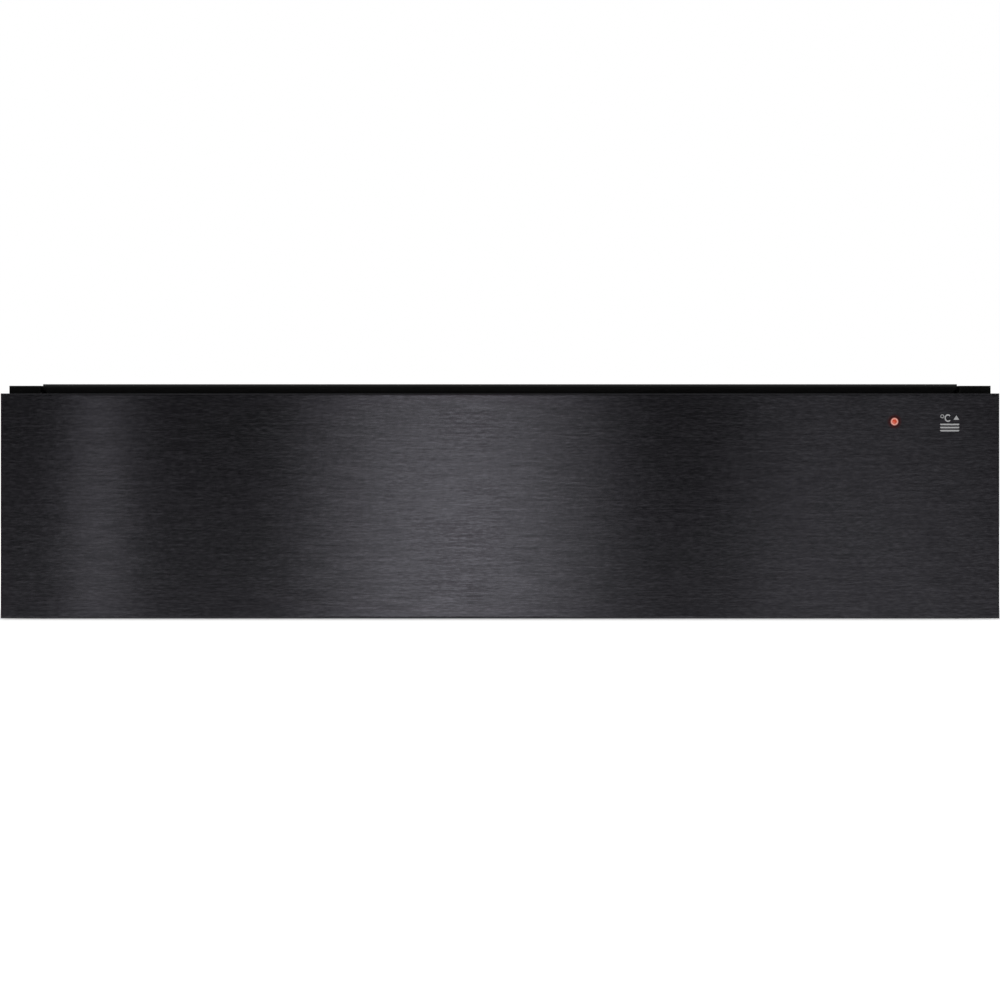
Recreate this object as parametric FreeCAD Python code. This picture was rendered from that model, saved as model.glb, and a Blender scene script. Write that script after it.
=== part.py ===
# Built-in warming drawer, 140 mm high, with a plain push-to-open front and fan heating.
# Millimetres. +X is to the right seen from the front, +Y goes to the back and +Z is up.
# The origin is on the shelf that the housing stands on, under the middle of the whole object.
import FreeCAD
import Part
import math
import os

V = FreeCAD.Vector

# Front panel: a folded steel skin over an inner tray, with a heat shield pad between them
PANEL_W = 595.0
PANEL_T = 19.0
PANEL_LIFT = 0.2
TOP_REVEAL = 5.8
SKIN_SHEET = 1.0
SKIN_BEND = 1.2
TRAY_SHEET = 0.8
TRAY_EDGE = 9.0
TRAY_CLEAR = 0.3
PAD_MARGIN = 14.0
PAD_CLEAR = 0.5

# Pilot lamp, placed from the panel's right and top edges
LAMP_FROM_RIGHT = 62.5
LAMP_FROM_TOP = 16.8
NEON_R = 1.8
LENS_R = 2.4
LENS_PROUD = 0.3
LENS_LENGTH = 5.0
LAMP_FIT = 0.2
LAMP_HOLDER_R = 5.0

# Housing: side walls with fixing flanges, base tray, back wall and top cover
HOUSING_W = 550.0
HOUSING_SHEET = 1.0
BASE_SHEET = 1.0
COVER_SHEET = 1.0
BACK_SHEET = 1.0
BEND_R = 1.5
FLANGE_REACH = 18.4
FLANGE_FOOT = 2.0
REAR_FLANGE = 12.0
CLOSED_GAP = 4.5
BASE_LIP = 15.0
BASE_FRONT_LIP = 8.0
COVER_SIDE_LIP = 14.0
COVER_FRONT_LIP = 8.0
COVER_REAR_LIP = 12.0
COVER_SET_BACK = 0.4
LIP_END_GAP = 0.7
LIP_CUT_W = 4.9
LIP_CUT_H = 5.6
CORNER_NOTCH = 3.0
FIT_GAP = 0.3

# Holes that fix the housing to the cabinet's side panels
FIX_HOLE_R = 2.25
FIX_HOLE_OUT = 13.0
FIX_SPACING_Z = 90.0
FIX_CENTRE_Z = 70.0

# Vents and pressed ribs of the housing
SIDE_VENT_W = 26.0
SIDE_VENT_H = 3.0
SIDE_VENT_ROWS = 3
SIDE_VENT_COLUMNS = 2
SIDE_VENT_PITCH_Y = 36.0
SIDE_VENT_PITCH_Z = 7.0
SIDE_VENT_FROM_BACK = 60.0
SIDE_VENT_UNDER_TOP = 24.0
BASE_VENT_W = 44.0
BASE_VENT_L = 5.0
BASE_VENT_COUNT = 3
BASE_VENT_PITCH = 14.0
BASE_VENT_FROM_SIDE = 125.0
BASE_VENT_FROM_BACK = 70.0
BASE_RIB_W = 18.0
BASE_RIB_H = 2.5
BASE_RIB_END = 40.0
BASE_RIB_COUNT = 3
BASE_RIB_PITCH = 130.0
COVER_RIB_W = 26.0
COVER_RIB_H = 1.6
COVER_RIB_END = 46.0
COVER_RIB_COUNT = 3
COVER_RIB_PITCH = 140.0
RIB_SLOPE = 3.0
BACK_VENT_W = 4.0
BACK_VENT_H = 40.0
BACK_VENT_COUNT = 6
BACK_VENT_PITCH = 12.0
BACK_VENT_X = 100.0
BACK_VENT_Z = 88.0
BACK_PRESS_W = 150.0
BACK_PRESS_H = 44.0
BACK_PRESS_DEPTH = 2.0
BACK_PRESS_Z = 38.0

# Drawer box
BOX_FLOOR_Z = 12.0
BOX_H = 104.0
BOX_D = 450.0
BOX_SHEET = 0.8
BOX_CORNER_R = 10.0
RIM_REACH = 9.0
RIM_HEM = 7.0
MAT_T = 2.0
MAT_MARGIN = 6.0
MAT_CORNER_R = 8.0

# Telescopic ball slide: widths across the slide are u, heights from its middle are v
SLIDE_W = 12.7
SLIDE_H = 45.0
SLIDE_L = 430.0
SLIDE_FROM_FLANGE = 6.0
SLIDE_UP = 46.0
SLIDE_OUTER_T = 1.2
SLIDE_MIDDLE_T = 1.0
SLIDE_INNER_T = 1.2
OUTER_BALL_R = 2.0
INNER_BALL_R = 1.75
RACE_CLEAR = 0.1
SLIDE_SIDE_GAP = 1.0
SLIDE_BEND_R = 1.5
CAGE_T = 0.4
CAGE_GAP = 0.2
CAGE_L = 150.0
CAGE_POCKETS = 3
CAGE_POCKET_CLEAR = 0.15
CAGE_ARM_RISE = 0.5
CAGE_ARM_SHORT = 0.6

# Push latches on the back wall, with magnetic plungers against striker plates on the drawer
LATCH_FROM_SIDE = 85.0
LATCH_UP = 52.0
LATCH_W = 18.0
LATCH_H = 24.0
LATCH_L = 58.0
LATCH_NECK = 5.8
LATCH_FOOT_W = 34.0
LATCH_FOOT_T = 3.0
LATCH_FLOOR = 6.0
PLUNGER_W = 8.0
PLUNGER_FIT = 0.25
PLUNGER_IN = 36.0
MAGNET_W = 12.0
MAGNET_L = 6.0
STRIKER_W = 26.0
STRIKER_H = 30.0
STRIKER_T = 1.5
LATCH_GAP = 0.2

# Rear air box with grille, heating element and fan
AIR_W = 244.0
AIR_H = 82.0
AIR_D = 28.0
AIR_SHEET = 0.8
AIR_FLANGE = 6.0
AIR_OPENING_MARGIN = 4.0
GRILLE_DEPTH = 6.0
GRILLE_SHEET = 1.0
GRILLE_W = 256.0
GRILLE_H = 92.0
GRILLE_SLOT = 3.2
GRILLE_PITCH = 6.4
GRILLE_INTAKE_R = 31.0
GRILLE_SIDE_COUNT = 8
GRILLE_SIDE_H = 56.0
GRILLE_SIDE_X = 48.0
FAN_R = 31.0
FAN_HUB_R = 7.0
FAN_DISC_T = 1.2
FAN_BLADE_H = 13.0
FAN_BLADE_T = 0.9
FAN_BLADES = 7
FAN_BLADE_CURVE = 44.0
FAN_EYE_R = 19.0
FAN_BACK_GAP = 3.0
FAN_HUB_FIT = 0.02
HEATER_W = 6.4
HEATER_T = 3.2
HEATER_SPREAD = 36.0
HEATER_FROM_BACK = 13.0
HEATER_BEND_X = 40.0
HEATER_END_IN = 4.0
BUSH_W = 7.6
BUSH_OUT = 5.0
BUSH_FIT = 0.2
TERMINAL_W = 6.0
TERMINAL_T = 0.8
TERMINAL_L = 9.0
CLIP_W = 9.0
CUTOUT_R = 8.0
CUTOUT_T = 7.0
CUTOUT_X = 74.0
CUTOUT_UP = 14.0

# Fan motor
SHAFT_R = 2.0
SHAFT_FIT = 0.08
AIR_SHAFT_HOLE_R = 5.0
BRACKET_T = 6.0
BRACKET_W = 50.0
BRACKET_H = 13.0
CORE_W = 50.0
CORE_T = 16.0
CORE_ABOVE = 20.0
CORE_BELOW = 40.0
ROTOR_R = 12.2
ROTOR_GAP = 0.4
ROTOR_SHORT = 0.5
COIL_LIMB_W = 20.0
COIL_LIMB_H = 9.0
COIL_WINDOW_H = 8.0
COIL_L = 26.0
COIL_FIT = 0.3

# Control console inside the drawer's right front corner
CONSOLE_W = 136.0
CONSOLE_D = 42.0
CONSOLE_H = 42.0
CONSOLE_RISE = 5.0
CONSOLE_WALL = 2.0
CONSOLE_CORNER_R = 5.0
CONSOLE_SIDE_GAP = 1.0
KNOB_FROM_LEFT = 34.0
KNOB_R = 15.0
KNOB_H = 9.0
KNOB_GAP = 0.5
KNOB_SKIRT_H = 2.4
KNOB_GRIP_L = 27.0
KNOB_GRIP_W = 9.0
KNOB_POINT = 4.0
LIP_HEADROOM = 1.5
KNOB_SHAFT_R = 3.0
KNOB_SHAFT_IN = 6.0
KNOB_SHAFT_FIT = 0.1
SHAFT_HOLE_FIT = 0.5
THERMOSTAT_W = 28.0
THERMOSTAT_H = 22.0
SWITCH_FROM_LEFT = 84.0
SWITCH_W = 19.0
SWITCH_D = 13.0
SWITCH_H = 20.0
SWITCH_BEZEL = 1.8
SWITCH_BEZEL_T = 1.2
SWITCH_WALL = 1.2
SWITCH_WELL = 7.0
ROCKER_FIT = 0.3
ROCKER_TILT = 7.0
ROCKER_CREST = 1.6
ROCKER_RISE = 1.5
ROCKER_TAPER = 1.6

# Hexagon-head sheet metal screws; only their heads show
SCREW_ACROSS = 6.0
SCREW_HEAD_H = 2.4
SCREW_EDGE = 6.0
COVER_SCREW_PITCH = 190.0
COVER_SCREWS = 3
BACK_SCREW_PITCH = 50.0
BACK_SCREWS = 3
PANEL_SCREW_X = 75.0
PANEL_SCREW_PITCH = 140.0
PANEL_SCREW_UP = 22.0
PANEL_SCREW_RISE = 32.0

# Mains inlet
GLAND_FROM_SIDE = 43.0
GLAND_Z = 110.0
GLAND_PROUD = 3.5
GLAND_NECK_R = 8.0
GLAND_NUT_R = 10.5
GLAND_NUT_T = 5.0
GLAND_BORE_R = 3.8
GLAND_FIT = 0.2
BLOCK_W = 36.0
BLOCK_H = 20.0
BLOCK_T = 17.0
BLOCK_Z = 74.0
BLOCK_POLES = 3
BLOCK_WELL_R = 3.2
BLOCK_WELL_DEPTH = 9.0

# Heights
RIM_Z = BOX_FLOOR_Z + BOX_H
CONSOLE_TOP_Z = RIM_Z + CONSOLE_RISE
KNOB_Z = CONSOLE_TOP_Z + KNOB_GAP
LIP_BOTTOM_Z = KNOB_Z + KNOB_H + LIP_HEADROOM
ROOF_Z = LIP_BOTTOM_Z + COVER_FRONT_LIP
WALL_TOP_Z = ROOF_Z - COVER_SHEET
PANEL_TOP_Z = ROOF_Z - TOP_REVEAL
PANEL_H = PANEL_TOP_Z - PANEL_LIFT
SLIDE_Z = BOX_FLOOR_Z + SLIDE_UP
LATCH_Z = BOX_FLOOR_Z + LATCH_UP
FAN_Z = BOX_FLOOR_Z + BOX_H / 2
LAMP_Z = PANEL_TOP_Z - LAMP_FROM_TOP

# Widths
WALL_IN_X = HOUSING_W / 2 - HOUSING_SHEET
BOX_X = WALL_IN_X - SLIDE_W
BOX_IN_X = BOX_X - BOX_SHEET
LAMP_X = PANEL_W / 2 - LAMP_FROM_RIGHT
FIX_HOLE_X = HOUSING_W / 2 + FIX_HOLE_OUT
BASE_VENT_X = HOUSING_W / 2 - BASE_VENT_FROM_SIDE
LATCH_X = HOUSING_W / 2 - LATCH_FROM_SIDE
GLAND_X = GLAND_FROM_SIDE - HOUSING_W / 2
CONSOLE_RIGHT_X = BOX_IN_X - CONSOLE_SIDE_GAP
CONSOLE_LEFT_X = CONSOLE_RIGHT_X - CONSOLE_W
KNOB_X = CONSOLE_LEFT_X + KNOB_FROM_LEFT
SWITCH_X = CONSOLE_LEFT_X + SWITCH_FROM_LEFT

# Depths, from the tip of the lamp's lens to the back of the mains gland
REAR_SPACE = STRIKER_T + LATCH_GAP + MAGNET_L + LATCH_NECK + LATCH_L
OVERALL_D = LENS_PROUD + PANEL_T + BOX_D + REAR_SPACE + BACK_SHEET + GLAND_PROUD
FACE_Y = LENS_PROUD - OVERALL_D / 2
PANEL_BACK_Y = FACE_Y + PANEL_T
FLANGE_Y = PANEL_BACK_Y + CLOSED_GAP
BOX_FRONT_Y = PANEL_BACK_Y
BOX_BACK_Y = BOX_FRONT_Y + BOX_D
BACK_IN_Y = BOX_BACK_Y + REAR_SPACE
BACK_Y = BACK_IN_Y + BACK_SHEET
SLIDE_Y = FLANGE_Y + SLIDE_FROM_FLANGE
CONSOLE_Y = BOX_FRONT_Y + BOX_SHEET
CONTROL_Y = CONSOLE_Y + CONSOLE_D / 2
AIR_BACK_Y = BOX_BACK_Y + AIR_D
CORE_Y = AIR_BACK_Y + BRACKET_T

# Cross-section of the slide, from its ball sizes and sheet thicknesses
OUTER_RACE_R = OUTER_BALL_R + RACE_CLEAR
INNER_RACE_R = INNER_BALL_R + RACE_CLEAR
OUTER_BALL_U = SLIDE_W - SLIDE_SIDE_GAP - SLIDE_OUTER_T - OUTER_RACE_R
OUTER_BALL_V = SLIDE_H / 2 - SLIDE_OUTER_T - OUTER_RACE_R
MIDDLE_WEB_U = SLIDE_OUTER_T + CAGE_T + 2 * CAGE_GAP + SLIDE_MIDDLE_T / 2
INNER_BALL_U = MIDDLE_WEB_U + SLIDE_MIDDLE_T / 2 + INNER_RACE_R
BALL_SPACING = OUTER_RACE_R + INNER_RACE_R + SLIDE_MIDDLE_T
BALL_DU = OUTER_BALL_U - INNER_BALL_U
INNER_BALL_V = OUTER_BALL_V - math.sqrt(BALL_SPACING**2 - BALL_DU**2)


def block(x, y, z):
    """A box between (low, high) pairs along X, Y and Z."""
    return Part.makeBox(x[1] - x[0], y[1] - y[0], z[1] - z[0], V(x[0], y[0], z[0]))


def centred(middle, size):
    """The (low, high) pair of a size about its middle."""
    return middle - size / 2, middle + size / 2


def rod(centre, radius, length, direction):
    """A cylinder from centre along a direction."""
    return Part.makeCylinder(radius, length, centre, direction)


def mirrored(shape):
    """The same piece for the other side of the drawer."""
    return shape.mirror(V(0, 0, 0), V(1, 0, 0))


def prism(points, direction):
    """A solid from a closed outline of points, pushed along a direction."""
    return Part.Face(Part.makePolygon(points + points[:1])).extrude(direction)


def frustum(a, b, depth, inset, place):
    """A tapered block on the rectangle a by b; place(a, b, c) gives the point in space."""
    low = [(a[0], b[0]), (a[1], b[0]), (a[1], b[1]), (a[0], b[1])]
    top = [(a[0] + inset, b[0] + inset), (a[1] - inset, b[0] + inset)]
    top += [(a[1] - inset, b[1] - inset), (a[0] + inset, b[1] - inset)]
    wires = [
        Part.makePolygon([place(p[0], p[1], c) for p in ring + ring[:1]])
        for ring, c in ((low, 0.0), (top, depth))
    ]
    return Part.makeLoft(wires, True, True)


def pressed(sheet, a, b, depth, thickness, place):
    """Presses a rib into a sheet: the raised side is added and its hollow is cut from the other side."""
    raised = frustum(a, b, depth, RIB_SLOPE, lambda p, q, c: place(p, q, c + thickness))
    hollow = frustum(a, b, depth, RIB_SLOPE, place)
    return sheet.fuse(raised).cut(hollow)


def rounded_rect(x, y, z, radius):
    """A flat face with rounded corners at height z."""
    ends = [
        (V(x[0] + radius, y[0] + radius, z), 180),
        (V(x[1] - radius, y[0] + radius, z), 270),
        (V(x[1] - radius, y[1] - radius, z), 0),
        (V(x[0] + radius, y[1] - radius, z), 90),
    ]
    edges = []
    for i, (centre, start) in enumerate(ends):
        arc = Part.makeCircle(radius, centre, V(0, 0, 1), start, start + 90)
        after, angle = ends[(i + 1) % 4]
        turn = math.radians(angle)
        begin = after + V(radius * math.cos(turn), radius * math.sin(turn), 0)
        edges += [arc, Part.makeLine(arc.valueAt(arc.LastParameter), begin)]
    return Part.Face(Part.Wire(edges))


def rounded_block(x, y, z, radius):
    """A box with rounded upright corners."""
    return rounded_rect(x, y, z[0], radius).extrude(V(0, 0, z[1] - z[0]))


def bends(points, radius):
    """Turns corner points into straight runs and arcs that round each corner of a sheet's middle line."""
    path = []
    at = points[0]
    for before, corner, after in zip(points, points[1:], points[2:]):
        d1 = V(corner[0] - before[0], corner[1] - before[1], 0).normalize()
        d2 = V(after[0] - corner[0], after[1] - corner[1], 0).normalize()
        turn = math.atan2(d1.x * d2.y - d1.y * d2.x, d1.x * d2.x + d1.y * d2.y)
        back = radius * math.tan(abs(turn) / 2)
        side = math.copysign(radius, turn)
        start = (corner[0] - d1.x * back, corner[1] - d1.y * back)
        centre = (start[0] - d1.y * side, start[1] + d1.x * side)
        angle = math.degrees(math.atan2(start[1] - centre[1], start[0] - centre[0]))
        path.append(("line", at, start))
        path.append(("arc", centre, radius, angle, angle + math.degrees(turn)))
        at = (corner[0] + d2.x * back, corner[1] + d2.y * back)
    path.append(("line", at, points[-1]))
    return path


def offset_edge(piece, shift, place):
    """The edge of one run or arc, moved to its left by shift; it is returned with its two ends."""
    if piece[0] == "line":
        start, end = piece[1], piece[2]
        run = V(end[0] - start[0], end[1] - start[1], 0).normalize()
        ends = [place(p[0] - run.y * shift, p[1] + run.x * shift) for p in (start, end)]
        return Part.makeLine(ends[0], ends[1]), ends
    centre, radius, first, last = piece[1:]
    reach = radius - math.copysign(shift, (last - first) * shift)
    angles = [math.radians(a) for a in (first, (first + last) / 2, last)]
    points = [
        place(centre[0] + reach * math.cos(a), centre[1] + reach * math.sin(a))
        for a in angles
    ]
    return Part.Arc(*points).toShape(), [points[0], points[2]]


def ribbon(path, thickness, place, push):
    """A bent sheet: its middle line is a path of runs and arcs in the plane of place(u, v), pushed along push."""
    left = [offset_edge(piece, thickness / 2, place) for piece in path]
    right = [offset_edge(piece, -thickness / 2, place) for piece in path]
    edges = [edge for edge, _ in left] + [edge for edge, _ in right]
    edges.append(Part.makeLine(left[0][1][0], right[0][1][0]))
    edges.append(Part.makeLine(left[-1][1][1], right[-1][1][1]))
    return Part.Face(Part.Wire(Part.__sortEdges__(edges))).extrude(push)


def cut_all(shape, tools):
    """Cuts every tool from a shape and cleans the result."""
    return shape.cut(Part.makeCompound(tools)).removeSplitter()


# Housing


def side_wall():
    """Right side wall, with the fixing flange in front and a narrow flange behind."""
    mid_x = HOUSING_W / 2 - HOUSING_SHEET / 2
    mid_r = BEND_R + HOUSING_SHEET / 2
    front = FLANGE_Y + HOUSING_SHEET / 2
    back = BACK_IN_Y - HOUSING_SHEET / 2
    points = [
        (HOUSING_W / 2 + FLANGE_REACH, front),
        (mid_x, front),
        (mid_x, back),
        (HOUSING_W / 2 - REAR_FLANGE, back),
    ]
    wall = ribbon(
        bends(points, mid_r), HOUSING_SHEET, lambda u, v: V(u, v, 0), V(0, 0, WALL_TOP_Z)
    )
    beyond = FLANGE_REACH + 1
    foot = block(
        (HOUSING_W / 2, HOUSING_W / 2 + beyond),
        (FLANGE_Y - 1, FLANGE_Y + mid_r),
        (-1, FLANGE_FOOT),
    )
    holes = [
        rod(V(FIX_HOLE_X, FLANGE_Y - 1, z), FIX_HOLE_R, HOUSING_SHEET + 2, V(0, 1, 0))
        for z in centred(FIX_CENTRE_Z, FIX_SPACING_Z)
    ]
    vents = []
    for column in range(SIDE_VENT_COLUMNS):
        for row in range(SIDE_VENT_ROWS):
            y = BACK_Y - SIDE_VENT_FROM_BACK - column * SIDE_VENT_PITCH_Y
            z = WALL_TOP_Z - SIDE_VENT_UNDER_TOP - row * SIDE_VENT_PITCH_Z
            across = (WALL_IN_X - 1, HOUSING_W / 2 + 1)
            vents.append(block(across, centred(y, SIDE_VENT_W), centred(z, SIDE_VENT_H)))
    return cut_all(wall, [foot] + holes + vents)


def base_tray():
    """Folded base with upturned lips, pressed ribs and cooling slots."""
    lip_x = WALL_IN_X - BASE_SHEET / 2
    mid_z = BASE_SHEET / 2
    mid_r = BEND_R + BASE_SHEET / 2
    front = FLANGE_Y + COVER_SET_BACK
    side_run = (front + CORNER_NOTCH, BACK_IN_Y - HOUSING_SHEET - CORNER_NOTCH)
    across = [(-lip_x, BASE_LIP), (-lip_x, mid_z), (lip_x, mid_z), (lip_x, BASE_LIP)]
    tray = ribbon(
        bends(across, mid_r),
        BASE_SHEET,
        lambda u, v: V(u, side_run[0], v),
        V(0, side_run[1] - side_run[0], 0),
    )
    half = HOUSING_W / 2 - REAR_FLANGE - CORNER_NOTCH
    along = [
        (front + BASE_SHEET / 2, BASE_FRONT_LIP),
        (front + BASE_SHEET / 2, mid_z),
        (BACK_IN_Y - BASE_SHEET / 2, mid_z),
        (BACK_IN_Y - BASE_SHEET / 2, BASE_LIP),
    ]
    lips = ribbon(
        bends(along, mid_r), BASE_SHEET, lambda u, v: V(-half, u, v), V(2 * half, 0, 0)
    )
    tray = tray.fuse(lips)
    for i in range(BASE_RIB_COUNT):
        middle = (side_run[0] + side_run[1]) / 2
        y = middle + (i - (BASE_RIB_COUNT - 1) / 2) * BASE_RIB_PITCH
        tray = pressed(
            tray,
            (-half + BASE_RIB_END, half - BASE_RIB_END),
            centred(y, BASE_RIB_W),
            BASE_RIB_H,
            BASE_SHEET,
            lambda p, q, c: V(p, q, c),
        )
    vents = []
    for x in (-BASE_VENT_X, BASE_VENT_X):
        for i in range(BASE_VENT_COUNT):
            y = BACK_IN_Y - BASE_VENT_FROM_BACK + i * BASE_VENT_PITCH
            vents.append(
                block(centred(x, BASE_VENT_W), centred(y, BASE_VENT_L), (-1, BASE_SHEET + 1))
            )
    return cut_all(tray, vents)


def top_cover():
    """Lid with lips that hang inside the walls; its front lip shows above the front panel."""
    lip_x = WALL_IN_X - COVER_SHEET / 2
    mid_z = ROOF_Z - COVER_SHEET / 2
    mid_r = BEND_R + COVER_SHEET / 2
    front = FLANGE_Y + COVER_SET_BACK
    side_run = (front + CORNER_NOTCH, BACK_IN_Y - HOUSING_SHEET - CORNER_NOTCH)
    side_z = WALL_TOP_Z - COVER_SIDE_LIP
    across = [(-lip_x, side_z), (-lip_x, mid_z), (lip_x, mid_z), (lip_x, side_z)]
    cover = ribbon(
        bends(across, mid_r),
        COVER_SHEET,
        lambda u, v: V(u, side_run[0], v),
        V(0, side_run[1] - side_run[0], 0),
    )
    inland = side_run[0] + CORNER_NOTCH + 2 * mid_r
    front_half = WALL_IN_X - LIP_END_GAP
    front_path = [(front + COVER_SHEET / 2, LIP_BOTTOM_Z), (front + COVER_SHEET / 2, mid_z)]
    front_lip = ribbon(
        bends(front_path + [(inland, mid_z)], mid_r),
        COVER_SHEET,
        lambda u, v: V(-front_half, u, v),
        V(2 * front_half, 0, 0),
    )
    rear_half = HOUSING_W / 2 - REAR_FLANGE - CORNER_NOTCH
    rear_y = BACK_IN_Y - COVER_SHEET / 2
    rear_path = [(side_run[1] - CORNER_NOTCH, mid_z), (rear_y, mid_z)]
    rear_lip = ribbon(
        bends(rear_path + [(rear_y, WALL_TOP_Z - COVER_REAR_LIP)], mid_r),
        COVER_SHEET,
        lambda u, v: V(-rear_half, u, v),
        V(2 * rear_half, 0, 0),
    )
    cover = cover.fuse([front_lip, rear_lip])
    for i in range(COVER_RIB_COUNT):
        middle = (side_run[0] + side_run[1]) / 2
        y = middle + (i - (COVER_RIB_COUNT - 1) / 2) * COVER_RIB_PITCH
        cover = pressed(
            cover,
            (-rear_half + COVER_RIB_END, rear_half - COVER_RIB_END),
            centred(y, COVER_RIB_W),
            COVER_RIB_H,
            COVER_SHEET,
            lambda p, q, c: V(p, q, ROOF_Z - c),
        )
    corners = []
    for side in (-1, 1):
        end = side * front_half
        points = [
            V(end + side, front - 1, LIP_BOTTOM_Z + LIP_CUT_H + 1),
            V(end, front - 1, LIP_BOTTOM_Z + LIP_CUT_H),
            V(end - side * LIP_CUT_W, front - 1, LIP_BOTTOM_Z),
            V(end - side * LIP_CUT_W, front - 1, LIP_BOTTOM_Z - 1),
            V(end + side, front - 1, LIP_BOTTOM_Z - 1),
        ]
        corners.append(prism(points, V(0, COVER_SHEET + 2, 0)))
    return cut_all(cover, corners)


def back_wall():
    """Flat back with a pressed panel, upright vents and the hole of the mains gland."""
    wall = block(centred(0, HOUSING_W), (BACK_IN_Y, BACK_Y), (0, WALL_TOP_Z))
    wall = pressed(
        wall,
        centred(0, BACK_PRESS_W),
        centred(BACK_PRESS_Z, BACK_PRESS_H),
        BACK_PRESS_DEPTH,
        BACK_SHEET,
        lambda p, q, c: V(p, BACK_Y - c, q),
    )
    through = (BACK_IN_Y - 1, BACK_Y + 1)
    vents = []
    for x in (-BACK_VENT_X, 0, BACK_VENT_X):
        for i in range(BACK_VENT_COUNT):
            at = x + (i - (BACK_VENT_COUNT - 1) / 2) * BACK_VENT_PITCH
            vents.append(
                block(centred(at, BACK_VENT_W), through, centred(BACK_VENT_Z, BACK_VENT_H))
            )
    hole = rod(
        V(GLAND_X, through[0], GLAND_Z), GLAND_NECK_R + GLAND_FIT, BACK_SHEET + 2, V(0, 1, 0)
    )
    return cut_all(wall, vents + [hole])


def cable_gland():
    """Bush that the mains cable enters through: a hexagon outside, a neck in the wall and a nut inside."""
    nut_y = BACK_IN_Y - GLAND_NUT_T
    centre = V(GLAND_X, 0, GLAND_Z)
    hexagons = []
    for y, length in ((nut_y, GLAND_NUT_T), (BACK_Y, GLAND_PROUD)):
        outline = [
            V(GLAND_X + GLAND_NUT_R * math.cos(a), y, GLAND_Z + GLAND_NUT_R * math.sin(a))
            for a in (math.radians(60 * i) for i in range(6))
        ]
        hexagons.append(prism(outline, V(0, length, 0)))
    neck = rod(centre + V(0, BACK_IN_Y, 0), GLAND_NECK_R, BACK_SHEET, V(0, 1, 0))
    length = BACK_Y + GLAND_PROUD - nut_y
    bore = rod(centre + V(0, nut_y - 1, 0), GLAND_BORE_R, length + 2, V(0, 1, 0))
    return neck.fuse(hexagons).cut(bore).removeSplitter()


def terminal_block():
    """Three-pole connector for the mains leads, on the back wall under the gland."""
    body = block(
        centred(GLAND_X, BLOCK_W), (BACK_IN_Y - BLOCK_T, BACK_IN_Y), centred(BLOCK_Z, BLOCK_H)
    )
    pitch = BLOCK_W / BLOCK_POLES
    front = BACK_IN_Y - BLOCK_T
    wells = []
    for i in range(BLOCK_POLES):
        x = GLAND_X + (i - (BLOCK_POLES - 1) / 2) * pitch
        side = 2 * BLOCK_WELL_R
        wells.append(
            block(centred(x, side), (front - 1, front + BLOCK_WELL_DEPTH), centred(BLOCK_Z, side))
        )
    return cut_all(body, wells)


# Telescopic slides; the right one is drawn, with u measured from the wall towards the drawer


def slide_point(y):
    """Gives the point in space of (u, v) in the right slide's cross-section at depth y."""
    return lambda u, v: V(WALL_IN_X - u, y, SLIDE_Z + v)


def both_halves(upper, length, start, thickness):
    """A slide member or cage from the upper half of its path, which ends on the middle at v = 0."""
    lower = []
    for piece in reversed(upper):
        if piece[0] == "line":
            (u0, v0), (u1, v1) = piece[1], piece[2]
            lower.append(("line", (u1, -v1), (u0, -v0)))
        else:
            (u, v), radius, first, last = piece[1:]
            lower.append(("arc", (u, -v), radius, -last, -first))
    joined = upper[:-1] + [("line", upper[-1][1], lower[0][2])] + lower[1:]
    return ribbon(joined, thickness, slide_point(start), V(0, length, 0))


def slide_outer():
    """Fixed member: a channel whose edges curl over the outer balls."""
    t = SLIDE_OUTER_T
    race = OUTER_RACE_R + t / 2
    top = OUTER_BALL_V + race
    bend = SLIDE_BEND_R
    upper = [
        ("arc", (OUTER_BALL_U, OUTER_BALL_V), race, -10, 90),
        ("line", (OUTER_BALL_U, top), (t / 2 + bend, top)),
        ("arc", (t / 2 + bend, top - bend), bend, 90, 180),
        ("line", (t / 2, top - bend), (t / 2, 0)),
    ]
    return both_halves(upper, SLIDE_L, SLIDE_Y, t)


def slide_middle():
    """Middle member: each edge cradles an outer ball from below and wraps over an inner ball."""
    t = SLIDE_MIDDLE_T
    rise = INNER_BALL_V - OUTER_BALL_V
    facing = math.degrees(math.atan2(rise, -BALL_DU)) % 360
    upper = [
        ("arc", (OUTER_BALL_U, OUTER_BALL_V), OUTER_RACE_R + t / 2, 340, facing),
        ("arc", (INNER_BALL_U, INNER_BALL_V), INNER_RACE_R + t / 2, facing - 180, 180),
        ("line", (MIDDLE_WEB_U, INNER_BALL_V), (MIDDLE_WEB_U, 0)),
    ]
    return both_halves(upper, SLIDE_L, SLIDE_Y, t)


def slide_inner():
    """Drawer member: a channel whose edges run under the inner balls."""
    t = SLIDE_INNER_T
    race = INNER_RACE_R + t / 2
    web = SLIDE_W - t / 2
    floor = INNER_BALL_V - race
    bend = SLIDE_BEND_R
    upper = [
        ("arc", (INNER_BALL_U, INNER_BALL_V), race, 255, 270),
        ("line", (INNER_BALL_U, floor), (web - bend, floor)),
        ("arc", (web - bend, floor - bend), bend, 90, 0),
        ("line", (web, floor - bend), (web, 0)),
    ]
    return both_halves(upper, SLIDE_L, SLIDE_Y, t)


def pocket_places():
    """Depths of the ball pockets along a cage, which sits half way along the closed slide."""
    start = SLIDE_Y + (SLIDE_L - CAGE_L) / 2
    pitch = CAGE_L / CAGE_POCKETS
    return start, [start + (i + 0.5) * pitch for i in range(CAGE_POCKETS)]


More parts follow.
